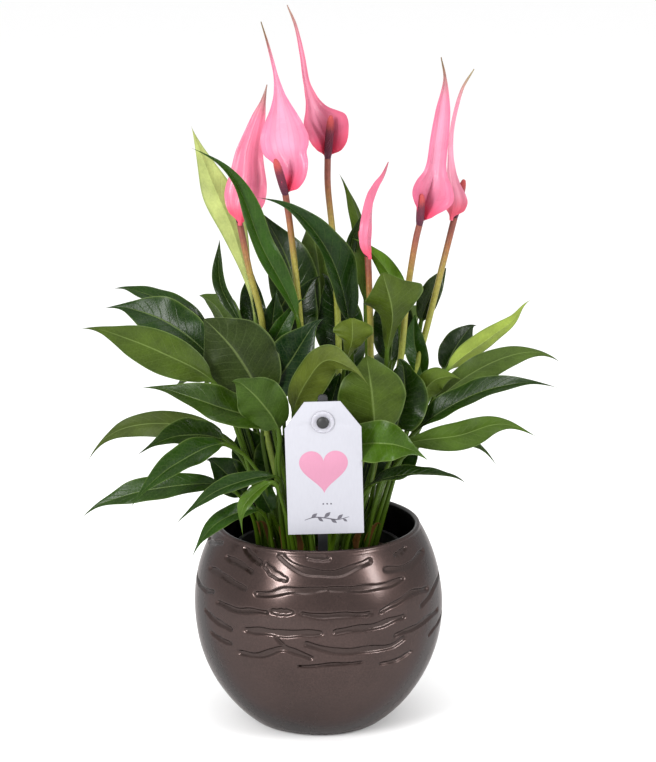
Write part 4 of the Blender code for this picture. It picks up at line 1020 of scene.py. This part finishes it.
def spadixMaterial():
    # fleshy spadix: plum flowerets low down, ripening to orange-red at the tip
    made, tree, shader = startMaterial("fleshySpadix", {"IOR": 1.4, "Roughness": 0.5})
    place = addNode(tree, "ShaderNodeTexCoord").outputs["Object"]
    share = addNode(tree, "ShaderNodeAttribute", {"attribute_name": "along"}).outputs["Fac"]
    fleck = addNode(tree, "ShaderNodeTexNoise", {"Scale": scaleFor(0.91), "Detail": 2.0}, {"Vector": place})
    moved = addNode(tree, "ShaderNodeMath", {"operation": "MULTIPLY_ADD", 1: 0.3}, {0: fleck, 2: share})
    ramp = addNode(tree, "ShaderNodeValToRGB", None, {0: moved})
    stops = ramp.color_ramp.elements
    stops[0].position, stops[0].color = 0.15, rgb("#43162a")
    stops[1].position, stops[1].color = 1.0, rgb("#9a3a3a")
    stop = stops.new(0.78)
    stop.color = rgb("#5e1f31")
    gloss = addNode(tree, "ShaderNodeMapRange", {1: 0.3, 2: 0.7, 3: 0.4, 4: 0.62}, {0: fleck})
    finishSurface(tree, shader, ramp.outputs[0], gloss, fleck, 0.4, 0.1)
    return made


def spatheMaterial():
    # waxy spathe: rose pink, paler lilac up the middle of the top face, partly its own tint and partly
    # painted sheen, a deeper crimson painted at the foot as shade in the cupped hood, long veins, and a tail
    # that dries to beige-green. It lets light through.
    made, tree, shader = startMaterial("waxySpathe", {"IOR": 1.4, "Specular IOR Level": 0.5})
    place, lengthways, outward, upper, tones = bladeNodes(tree)
    cloud = addNode(tree, "ShaderNodeTexNoise", {"Scale": scaleFor(11.1), "Detail": 3.0}, {"Vector": place})
    grain = addNode(tree, "ShaderNodeTexNoise", {"Scale": scaleFor(1), "Detail": 2.0}, {"Vector": place})
    base = addNode(tree, "ShaderNodeMix", {"data_type": "RGBA"},
                   {0: upper, 6: tones[1], 7: tones[0]}).outputs[2]
    # the pale tint with painted sheen is strongest in the middle third of the top face and fades to the
    # margins
    low = addNode(tree, "ShaderNodeMapRange", {"interpolation_type": "SMOOTHSTEP", 1: 0.06, 2: 0.32},
                  {0: lengthways})
    high = addNode(tree, "ShaderNodeMapRange",
                   {"interpolation_type": "SMOOTHSTEP", 1: 0.75, 2: 0.95, 3: 1.0, 4: 0.6}, {0: lengthways})
    wide = addNode(tree, "ShaderNodeMapRange",
                   {"interpolation_type": "SMOOTHSTEP", 1: 0.15, 2: 0.95, 3: 1.0, 4: 0.1}, {0: outward})
    first = addNode(tree, "ShaderNodeMath", {"operation": "MULTIPLY"}, {0: low, 1: high})
    second = addNode(tree, "ShaderNodeMath", {"operation": "MULTIPLY"}, {0: first, 1: wide})
    paleTintAndSheen = addNode(tree, "ShaderNodeMath", {"operation": "MULTIPLY"}, {0: second, 1: upper})
    paleTintAndSheenAmount = addNode(tree, "ShaderNodeMath", {"operation": "MULTIPLY", 1: 0.42}, {0: paleTintAndSheen})
    tintedAndSheened = addNode(tree, "ShaderNodeMix", {"data_type": "RGBA", 7: rgb("#eab9cf")},
                     {0: paleTintAndSheenAmount, 6: base}).outputs[2]
    # long veins run from the foot and gather at the tail
    lanes = addNode(tree, "ShaderNodeMath", {"operation": "MULTIPLY", 1: 4.5}, {0: outward})
    wobble = addNode(tree, "ShaderNodeMath", {"operation": "MULTIPLY_ADD", 1: 0.5}, {0: cloud, 2: lanes})
    gap = addNode(tree, "ShaderNodeMath", {"operation": "PINGPONG", 1: 0.5}, {0: wobble})
    vein = addNode(tree, "ShaderNodeMapRange",
                   {"interpolation_type": "SMOOTHSTEP", 1: 0.0, 2: 0.16, 3: 1.0, 4: 0.0}, {0: gap})
    veinAmount = addNode(tree, "ShaderNodeMath", {"operation": "MULTIPLY", 1: 0.16}, {0: vein})
    veined = addNode(tree, "ShaderNodeMix", {"data_type": "RGBA", 7: rgb("#d94f74")},
                     {0: veinAmount, 6: tintedAndSheened}).outputs[2]
    # painted shade: the foot is mixed towards deep crimson where the hood cups round the spadix
    foot = addNode(tree, "ShaderNodeMapRange",
                   {"interpolation_type": "SMOOTHSTEP", 1: 0.03, 2: 0.17, 3: 0.7, 4: 0.0}, {0: lengthways})
    cupShaded = addNode(tree, "ShaderNodeMix", {"data_type": "RGBA", 7: rgb("#e23a58")},
                     {0: foot, 6: veined}).outputs[2]
    tail = addNode(tree, "ShaderNodeMapRange",
                   {"interpolation_type": "SMOOTHSTEP", 1: 0.72, 2: 0.98, 3: 0.0, 4: 0.9}, {0: lengthways})
    tailed = addNode(tree, "ShaderNodeMix", {"data_type": "RGBA"},
                     {0: tail, 6: cupShaded, 7: tones[2]}).outputs[2]
    tone = addNode(tree, "ShaderNodeMapRange", {1: 0.3, 2: 0.7, 3: 0.92, 4: 1.06}, {0: cloud})
    whole = addNode(tree, "ShaderNodeMix", {"data_type": "RGBA", "blend_type": "MULTIPLY", 0: 1.0},
                    {6: tailed, 7: tone}).outputs[2]
    gloss = addNode(tree, "ShaderNodeMapRange", {1: 0.3, 2: 0.7, 3: 0.22, 4: 0.36}, {0: cloud})
    height = addNode(tree, "ShaderNodeMath", {"operation": "MULTIPLY_ADD", 1: -0.9}, {0: vein, 2: grain})
    finishSurface(tree, shader, whole, gloss, height, 0.45, 0.2)
    through = addNode(tree, "ShaderNodeBsdfTranslucent", None, {"Color": whole})
    mixed = addNode(tree, "ShaderNodeMixShader", {0: 0.36}, {1: shader, 2: through})
    tree.links.new(mixed.outputs[0], tree.nodes["Material Output"].inputs["Surface"])
    return made


def floweretTree():
    # flowerets stand on a tapered core along the source line, each turned a golden angle past the last
    tree, given, made = groupStart("spadixFlowerets", [
        ("Flowerets", "NodeSocketInt", 300), ("Core", "NodeSocketFloat", 0.002),
        ("Floweret", "NodeSocketFloat", 0.0007), ("Material", "NodeSocketMaterial", None)])
    axis = addNode(tree, "GeometryNodeMeshToCurve", None, {0: given.outputs["Geometry"]})
    cloud = addNode(tree, "GeometryNodePoints", None, {"Count": given.outputs["Flowerets"]})
    index = addNode(tree, "GeometryNodeInputIndex")
    share = addNode(tree, "ShaderNodeMath", {"operation": "DIVIDE"},
                    {0: index, 1: given.outputs["Flowerets"]})
    turn = addNode(tree, "ShaderNodeMath", {"operation": "MULTIPLY", 1: 2.39996}, {0: index})
    at = addNode(tree, "GeometryNodeSampleCurve", {"mode": "FACTOR"}, {"Curves": axis, "Factor": share})
    girth = addNode(tree, "ShaderNodeFloatCurve", None, {"Value": share})
    curve = girth.mapping.curves[0]
    curve.points[0].location = (0, 0.72)
    curve.points[1].location = (1, 0.12)
    for spot in ((0.2, 0.95), (0.5, 1.0), (0.8, 0.86), (0.94, 0.55)):
        curve.points.new(*spot)
    girth.mapping.update()
    radius = addNode(tree, "ShaderNodeMath", {"operation": "MULTIPLY"}, {0: girth, 1: given.outputs["Core"]})
    cross = addNode(tree, "ShaderNodeVectorMath", {"operation": "CROSS_PRODUCT"},
                    {0: at.outputs["Tangent"], 1: at.outputs["Normal"]})
    cosine = addNode(tree, "ShaderNodeMath", {"operation": "COSINE"}, {0: turn})
    sine = addNode(tree, "ShaderNodeMath", {"operation": "SINE"}, {0: turn})
    one = addNode(tree, "ShaderNodeVectorMath", {"operation": "SCALE"}, {0: at.outputs["Normal"], 3: cosine})
    two = addNode(tree, "ShaderNodeVectorMath", {"operation": "SCALE"}, {0: cross, 3: sine})
    out = addNode(tree, "ShaderNodeVectorMath", {"operation": "ADD"}, {0: one, 1: two})
    reach = addNode(tree, "ShaderNodeVectorMath", {"operation": "SCALE"}, {0: out, 3: radius})
    spot = addNode(tree, "ShaderNodeVectorMath", {"operation": "ADD"}, {0: at.outputs["Position"], 1: reach})
    placed = addNode(tree, "GeometryNodeSetPosition", None, {"Geometry": cloud, "Position": spot})
    marked = addNode(tree, "GeometryNodeStoreNamedAttribute",
                     {"data_type": "FLOAT", "domain": "POINT", "Name": "along"},
                     {"Geometry": placed, "Value": share})
    bead = addNode(tree, "GeometryNodeMeshIcoSphere", {"Subdivisions": 1},
                   {"Radius": given.outputs["Floweret"]})
    aim = addNode(tree, "FunctionNodeAlignRotationToVector", {"axis": "Z"}, {"Vector": out})
    squash = addNode(tree, "ShaderNodeCombineXYZ", {0: 1.0, 1: 1.0, 2: 0.7})
    copies = addNode(tree, "GeometryNodeInstanceOnPoints", None,
                     {"Points": marked, "Instance": bead, "Rotation": aim, "Scale": squash})
    real = addNode(tree, "GeometryNodeRealizeInstances", None, {"Geometry": copies})
    soft = addNode(tree, "GeometryNodeSetShadeSmooth", None, {"Geometry": real})
    painted = addNode(tree, "GeometryNodeSetMaterial", None,
                      {"Geometry": soft, "Material": given.outputs["Material"]})
    tree.links.new(painted.outputs[0], made.inputs["Geometry"])
    return tree


stemLook = stemMaterial()
spadixLook = spadixMaterial()
spatheLook = spatheMaterial()
spadixTree = floweretTree()


def flower(name, foot, stem, spathe, sides, spadix, face, pink, underPink, tail, fold, twist=0, wave=1.0,
           girth=1.0):
    # sides gives the spathe's half width in millimetres along it, and spadix is where the spadix ends
    top = plantPoint(stem[-1])
    title = "".join(word.capitalize() for word in name.split("_"))
    thick = flowerShape["stemRadius"]
    stemPiece = tube("stem" + title, [footPoint(foot)] + [plantPoint(point) for point in stem],
                     [(0, thick * 1.12), (0.2, thick), (0.9, thick * 0.95), (1, thick)], stemLook)
    settle(stemPiece, "flower_stem", f"flower_{name}_stem")
    upward = unit(top - plantPoint(stem[-2]))
    root = top + upward * clearance
    end = plantPoint(spadix)
    core = flowerShape["spadixRadius"] * 0.86 * girth
    spadixPiece = tube("spadixCore" + title, [root, (root + end) / 2, end],
                       [(0, core * 0.7), (0.2, core * 0.95), (0.8, core * 0.9), (0.94, core * 0.62),
                        (1, core * 0.25)],
                       spadixLook, around=16, rows=24)
    settle(spadixPiece, "spadix", f"flower_{name}_spadix")
    route = smoothLine([root, (root + end) / 2, end], 8)[0]
    axis = addObject("axis", bpy.data.meshes.new("axis"))
    axis.data.from_pydata(route.tolist(), [(i, i + 1) for i in range(len(route) - 1)], [])
    flowerets = runNodes(axis, spadixTree, "spadix" + title, {
        "Flowerets": flowerShape["flowerets"], "Core": core, "Floweret": flowerShape["floweret"],
        "Material": spadixLook})
    bpy.data.objects.remove(axis)
    settle(flowerets, "spadix")
    collar = top - unit(face) * (flowerShape["stemRadius"] + 2.1 * mm) - np.array((0, 0, 1 * mm))
    blade = [collar + np.array((0, 0, 1 * mm))] + [plantPoint(point) for point in spathe]
    piece = loft("spathe" + title, [collar], blade, 12 * mm, face, spatheLook,
                 thickness=flowerShape["spatheThickness"],
                 stalkRadius=1.2 * mm, rib=0.25, wave=wave, ripple=1.7, fold=fold, twist=twist,
                 sides=[row if len(row) == 3 else (*row, row[1]) for row in sides],
                 stalkRows=1, bladeRows=84, blendShare=0.06, edgePower=1.0, hook=0, pleat=0.7,
                 seed=len(title))
    paintBlade(piece, pink, underPink, tail, 0.74)
    settle(piece, "spathe", f"flower_{name}_spathe")


flower("left", (-14, 4), [(-36, 1, 79), (-35, 2, 128), (-43, 5, 162), (-49, 8, 192)],
       [(-46.3, 2.5, 203), (-43.3, 5, 219), (-42.4, 11, 235), (-38.8, 14, 250), (-34.2, 16.4, 266),
        (-31.6, 18, 277)],
       [(0, 4.4), (0.1, 10.8), (0.18, 13), (0.25, 13), (0.32, 12.2), (0.41, 10.6), (0.5, 9), (0.59, 7.2),
        (0.68, 5.7), (0.78, 4.1), (0.87, 1.9), (0.95, 0.7), (1, 0.3)],
       (-51, 16, 214), (-0.1, 1, 0), "#ee7f9e", "#f587a6", "#a98a78",
       [(0, 20), (0.2, 24), (0.7, 24), (1, 50)])
flower("centre", (-4, 0), [(-10, 0, 80), (-11, -1, 126), (-17, -4, 190), (-20, -6, 212)],
       [(-16.2, -0.9, 224), (-20, -0.4, 244.5), (-22.4, -1.1, 265), (-25.6, -4.4, 285), (-30.4, -8.6, 305.5),
        (-34.3, -12, 319)],
       [(0, 2.6), (0.06, 5, 6), (0.12, 7.4, 9.4), (0.18, 9, 11.5), (0.22, 11, 11), (0.26, 15, 14),
        (0.33, 15.6, 15),
        (0.4, 12.4), (0.45, 9.7), (0.5, 6.8), (0.57, 3.6), (0.64, 2), (0.7, 1.2), (0.87, 0.8), (1, 0.3)],
       (-26, -14, 235), (0, -1, 0), "#ee86aa", "#ee7f9e", "#a79a6a",
       [(0, 62), (0.12, 44), (0.3, 20), (0.6, 30), (1, 55)], wave=1.8)
flower("rear", (4, 16), [(13, 18, 75), (10, 23, 172), (6, 27, 213), (6, 28, 229)],
       [(5.2, 32.4, 239.4), (-1.8, 35.4, 257.4), (-7.4, 37.8, 275.5), (-10.3, 39.3, 293.6),
        (-14.4, 40, 311.8), (-19.4, 40, 323.9)],
       [(0, 3), (0.05, 7), (0.1, 11.2, 11.6), (0.16, 12.5, 14.6), (0.21, 12.4, 15), (0.26, 11.2, 11.2),
        (0.32, 6.8), (0.38, 4.2), (0.48, 2.2), (0.6, 1.8), (0.7, 1.5), (0.8, 1.1), (0.9, 0.9), (1, 0.3)],
       (8, 20, 257), (0.2, -1, 0), "#df6a8a", "#e0708e", "#b79a84",
       [(0, 62), (0.15, 48), (0.35, 30), (0.6, 35), (1, 50)], wave=0.8)
flower("bud", (10, 0), [(33, 0, 67), (33, 0, 112), (32, -2, 152), (31, -4, 173)],
       [(30.1, -8.5, 180.5), (30.9, -8.5, 191.6), (32.8, -6.9, 202.6), (36, -7.8, 213.5),
        (40.5, -10.1, 224.6), (43.3, -12, 233.3)],
       [(0, 1.9), (0.12, 3.7), (0.21, 4.2), (0.3, 4.1), (0.39, 3.6), (0.48, 3.1), (0.57, 2.6), (0.66, 2.3),
        (0.75, 2.1), (0.85, 1.3), (0.94, 0.7), (1, 0.3)],
       (26, 0, 188), (-0.3, 1, 0), "#e8839f", "#f184a4", "#c9707f", [(0, 30), (0.2, 45), (0.6, 60), (1, 60)],
       wave=0.3, girth=0.8)
flower("right", (20, 6), [(50, 4, 92), (56, 3, 149), (61, 1, 183), (63, 0, 192)],
       [(66.4, 6, 203.4), (71.8, 6, 223.4), (74.6, 5.3, 243.4), (76.7, 2.8, 263.5), (77.7, -1.1, 283.5),
        (75.1, -4, 296.6)],
       [(0, 2.6), (0.07, 5.5), (0.13, 10), (0.18, 13.2), (0.22, 13.6), (0.27, 11.4), (0.31, 7.6), (0.37, 6.2),
        (0.42, 6), (0.5, 5.8), (0.59, 5.4), (0.69, 4.6), (0.78, 2.8), (0.87, 1), (1, 0.3)],
       (64, -7, 212), (0.1, -1, 0), "#e87a9d", "#ec84a2", "#9a8d62",
       [(0, 62), (0.15, 46), (0.3, 34), (0.5, 24), (0.8, 34), (1, 50)], wave=0.9)
flower("far_right", (29, 13), [(60, 14, 89), (68, 17, 119), (74, 20, 143), (86, 25, 192)],
       [(84.4, 20.5, 204), (82.8, 24.5, 221.4), (82.6, 29.6, 238.5), (84.9, 31.2, 255.8), (90.2, 32, 273.2),
        (97.4, 32, 285)],
       [(0, 2.8), (0.06, 7.5), (0.11, 9), (0.16, 7.2), (0.22, 5), (0.3, 3.4), (0.39, 2.3), (0.48, 1.9),
        (0.57, 1.5), (0.66, 1.4), (0.75, 1.4), (0.85, 1), (0.94, 0.7), (1, 0.3)],
       (92, 31, 215), (0.6, 1, 0), "#ef8fae", "#f1a0b8", "#a7a070", [(0, 25), (0.2, 32), (0.5, 34), (1, 50)],
       wave=0.6)
print("flowers ready")

# Tag: a card pegged to a plastic stake, printed with a heart, three dots and a sprig

tag = {
    "width": 47 * mm,
    "height": 87 * mm,
    "thickness": 0.6 * mm,
    "corner": (12.5 * mm, 17 * mm),
    "lift": 30 * mm,
    "turn": math.radians(1.6),
    "lean": math.radians(5.4),
    "stakeWide": 6 * mm,
    "stakeThick": 2 * mm,
    "pegRadius": 1.6 * mm,
    "pegBelowTop": 13 * mm,
    "headRadius": 3.8 * mm,
    "washerRadius": 7 * mm,
    "washerThick": 0.8 * mm,
    "heartHalf": (15 * mm, 15.6 * mm),
    "heartCentre": (-0.3 * mm, 73.4 * mm),
    "dotsUp": 50 * mm,
    "cardWhite": "#98989f",
    "heartPink": "#a36d83",
    "inkGrey": "#4a4850",
}
tagFoot = np.array((3 * mm, 4 * mm - soilHigh.x, soilTop + 0.2 * mm + clearance))
tagUp = np.array((0, -math.sin(tag["lean"]), math.cos(tag["lean"])))
tagOut = np.array((0, -math.cos(tag["lean"]), -math.sin(tag["lean"])))
cardTop = tag["lift"] + tag["height"]
pegUp = cardTop - tag["pegBelowTop"]
cardBack = tag["stakeThick"] / 2 + clearance
cardFront = cardBack + tag["thickness"]
washerBack = cardFront + clearance
headBack = washerBack + tag["washerThick"] + clearance


def leanOut(points, turned=True):
    # rows of (across, up, out) on the flat card, put in place on the leaning stake
    flat = np.asarray(points, float)
    x, y = flat[:, 0], flat[:, 1]
    if turned:
        c, s = math.cos(tag["turn"]), math.sin(tag["turn"])
        x, y = x * c - (y - pegUp) * s, pegUp + x * s + (y - pegUp) * c
    return tagFoot + np.stack([x, 0 * x, 0 * x], 1) + np.outer(y, tagUp) + np.outer(flat[:, 2], tagOut)


def flatPiece(name, loops, back, front, bevel, material, turned=True):
    # a sheet cut to closed outlines, with its edges eased
    curve = bpy.data.curves.new(name, "CURVE")
    curve.dimensions = "2D"
    curve.fill_mode = "BOTH"
    curve.extrude = (front - back) / 2 - bevel
    curve.bevel_depth = bevel
    curve.bevel_resolution = 1
    curve.offset = -bevel
    for loop in loops:
        spline = curve.splines.new("POLY")
        spline.points.add(len(loop) - 1)
        spline.use_cyclic_u = True
        for point, (x, y) in zip(spline.points, loop):
            point.co = (x, y, 0, 1)
    source = addObject(name, curve)
    mesh = plainMesh(source)
    bpy.data.objects.remove(source)
    places = np.empty(len(mesh.vertices) * 3)
    mesh.vertices.foreach_get("co", places)
    places = places.reshape(-1, 3) + (0, 0, (back + front) / 2)
    mesh.vertices.foreach_set("co", leanOut(places, turned).ravel())
    work = bmesh.new()
    work.from_mesh(mesh)
    bmesh.ops.remove_doubles(work, verts=work.verts, dist=1e-6)
    bmesh.ops.recalc_face_normals(work, faces=work.faces)
    work.to_mesh(mesh)
    work.free()
    mesh.materials.clear()
    mesh.materials.append(material)
    mesh.polygons.foreach_set("use_smooth", [True] * len(mesh.polygons))
    mesh.set_sharp_from_angle(angle=math.radians(35))
    mesh.update()
    mesh.name = name
    return addObject(name, mesh)


def circle(x, y, radius, steps=40):
    return [(x + radius * math.cos(2 * math.pi * i / steps), y + radius * math.sin(2 * math.pi * i / steps))
            for i in range(steps)]


def turnedPiece(name, profile, material, steps=48):
    # a small round part about the peg's axis; the profile is (radius, out)
    rows = []
    for radius, out in profile:
        for i in range(steps):
            a = 2 * math.pi * i / steps
            rows.append((radius * math.cos(a), pegUp + radius * math.sin(a), out))
    return meshPiece(name, leanOut(rows, False), ringFaces(len(profile), steps), material, sharp=50)


def printedPaper(name, hexText, roughness):
    # uncoated card: a felt tooth and faint fibres in the sheet, both drawn about twice as coarse to show
    made, tree, shader = startMaterial(name, {"IOR": 1.47, "Roughness": roughness})
    place = addNode(tree, "ShaderNodeTexCoord").outputs["Object"]
    tooth = addNode(tree, "ShaderNodeTexNoise", {"Scale": scaleFor(0.455), "Detail": 3.0}, {"Vector": place})
    stretch = addNode(tree, "ShaderNodeMapping", {"Scale": (1.0, 1.0, 0.25)}, {"Vector": place})
    fibre = addNode(tree, "ShaderNodeTexNoise", {"Scale": scaleFor(1.11), "Detail": 4.0}, {"Vector": stretch})
    tone = addNode(tree, "ShaderNodeMapRange", {1: 0.3, 2: 0.7, 3: 0.975, 4: 1.02}, {0: fibre})
    mixed = addNode(tree, "ShaderNodeMix",
                    {"data_type": "RGBA", "blend_type": "MULTIPLY", 0: 1.0, 6: rgb(hexText)}, {7: tone})
    gloss = addNode(tree, "ShaderNodeMapRange", {1: 0.3, 2: 0.7, 3: roughness - 0.05, 4: roughness + 0.05},
                    {0: fibre})
    finishSurface(tree, shader, mixed.outputs[2], gloss, tooth, 0.3, 0.05)
    return made


def frostedPlastic():
    # frosted clear polythene washer: cloudy, with a soft shine
    made, tree, shader = startMaterial("frostedPolythene", {"IOR": 1.51, "Transmission Weight": 0.55})
    place = addNode(tree, "ShaderNodeTexCoord").outputs["Object"]
    cloud = addNode(tree, "ShaderNodeTexNoise", {"Scale": scaleFor(2), "Detail": 2.0}, {"Vector": place})
    tone = addNode(tree, "ShaderNodeMix", {"data_type": "RGBA", 6: rgb("#b9b8c2"), 7: rgb("#dddce4")},
                   {0: cloud})
    tree.links.new(tone.outputs[2], shader.inputs["Base Color"])
    gloss = addNode(tree, "ShaderNodeMapRange", {1: 0.3, 2: 0.7, 3: 0.3, 4: 0.42}, {0: cloud})
    tree.links.new(gloss.outputs[0], shader.inputs["Roughness"])
    return made


cardPaper = printedPaper("uncoatedCard", tag["cardWhite"], 0.62)
heartInk = printedPaper("pinkInkOnCard", tag["heartPink"], 0.55)
greyInk = printedPaper("greyInkOnCard", tag["inkGrey"], 0.55)
washerPlastic = frostedPlastic()

half = tag["width"] / 2
cut = tag["corner"]
cardShape = [(-half, tag["lift"]), (half, tag["lift"]), (half, cardTop - cut[1]), (half - cut[0], cardTop),
             (cut[0] - half, cardTop), (-half, cardTop - cut[1])]
card = flatPiece("tagCard", [cardShape, circle(0, pegUp, tag["pegRadius"] + clearance)], cardBack, cardFront,
                 0.1 * mm, cardPaper)
settle(card, "white_card", "tag_card")

heartShape = []
for i in range(96):
    a = 2 * math.pi * i / 96
    x = math.sin(a) ** 3
    y = (13 * math.cos(a) - 5 * math.cos(2 * a) - 2 * math.cos(3 * a) - math.cos(4 * a)) / 16
    heartShape.append((tag["heartCentre"][0] + x * tag["heartHalf"][0],
                       tag["heartCentre"][1] + y * tag["heartHalf"][1]))
heart = flatPiece("tagHeart", [heartShape], cardFront + 0.005 * mm, cardFront + 0.035 * mm, 0.005 * mm,
                  heartInk)
settle(heart, "white_card")


def inkLine(points, width):
    # the outline of a pen line that swells in the middle and thins at its ends
    line = smoothLine([(x * mm, y * mm, 0) for x, y in points], 10)[0][:, :2]
    way = np.gradient(line, axis=0)
    way /= np.linalg.norm(way, axis=1)[:, None]
    off = np.stack([-way[:, 1], way[:, 0]], 1)
    swell = (0.35 + 0.65 * np.sin(np.linspace(0.02, 0.98, len(line)) * math.pi))[:, None] * width * mm / 2
    return (line + off * swell).tolist() + (line - off * swell).tolist()[::-1]


inks = [circle(x * mm, tag["dotsUp"], 0.55 * mm, 16) for x in (-1.2, 1.2, 3.6)]
sprig = [(-13, 39.5), (-7, 41.2), (0, 40.6), (7, 39.4), (14.5, 41)]
inks.append(inkLine(sprig, 0.8))
for x, y, rise, length in ((-9, 40.8, 38, 5), (-5, 41.2, -40, 4.6), (-1, 40.8, 42, 5.6), (3, 40.1, -38, 5),
                           (7, 39.6, 40, 5), (10.5, 40, -36, 3.6)):
    a = math.radians(rise)
    tipX, tipY = x + length * math.cos(a), y + length * math.sin(a)
    bowX, bowY = (x + tipX) / 2 - math.sin(a) * length * 0.22, (y + tipY) / 2 + math.cos(a) * length * 0.22
    lowX, lowY = (x + tipX) / 2 + math.sin(a) * length * 0.22, (y + tipY) / 2 - math.cos(a) * length * 0.22
    upperEdge = smoothLine([(x, y, 0), (bowX, bowY, 0), (tipX, tipY, 0)], 8)[0][:, :2] * mm
    lowerEdge = smoothLine([(x, y, 0), (lowX, lowY, 0), (tipX, tipY, 0)], 8)[0][:, :2] * mm
    inks.append(upperEdge.tolist() + lowerEdge[1:-1].tolist()[::-1])
for number, shape in enumerate(inks):
    stroke = flatPiece(f"tagInk{number}", [shape], cardFront + 0.005 * mm, cardFront + 0.03 * mm, 0.003 * mm,
                       greyInk)
    settle(stroke, "white_card")

wide = tag["stakeWide"] / 2
stakeTop = cardTop + 4 * mm
stakeShape = [(-wide, 0), (wide, 0), (wide, stakeTop - 2 * mm), (wide - 0.6 * mm, stakeTop - 0.6 * mm),
              (wide - 2 * mm, stakeTop), (2 * mm - wide, stakeTop), (0.6 * mm - wide, stakeTop - 0.6 * mm),
              (-wide, stakeTop - 2 * mm)]
stake = flatPiece("tagStake", [stakeShape], -tag["stakeThick"] / 2, tag["stakeThick"] / 2, 0.35 * mm,
                  blackPlastic, turned=False)
settle(stake, "black_plastic", "tag_stake")
headRows = [(tag["pegRadius"], 0.4 * mm), (tag["pegRadius"], headBack), (tag["headRadius"] * 0.96, headBack),
            (tag["headRadius"], headBack + 0.25 * mm)]
for i in range(9):
    a = math.radians(8 + i * 10)
    headRows.append((tag["headRadius"] * math.cos(a), headBack + 0.4 * mm + 1.8 * mm * math.sin(a)))
peg = turnedPiece("tagPeg", headRows, blackPlastic)
settle(peg, "black_plastic")
inner = tag["pegRadius"] + clearance
edge, washerFront = tag["washerRadius"], washerBack + tag["washerThick"]
washerRows = [(inner, washerBack), (edge - 0.3 * mm, washerBack), (edge, washerBack + 0.2 * mm),
              (edge, washerFront - 0.3 * mm), (edge - 0.35 * mm, washerFront), (edge - 1.4 * mm, washerFront),
              (edge - 1.8 * mm, washerFront - 0.2 * mm), (inner, washerFront - 0.2 * mm)]
washer = turnedPiece("tagWasher", washerRows, washerPlastic)
settle(washer, "clear_plastic", "tag_washer")
print("tag ready")
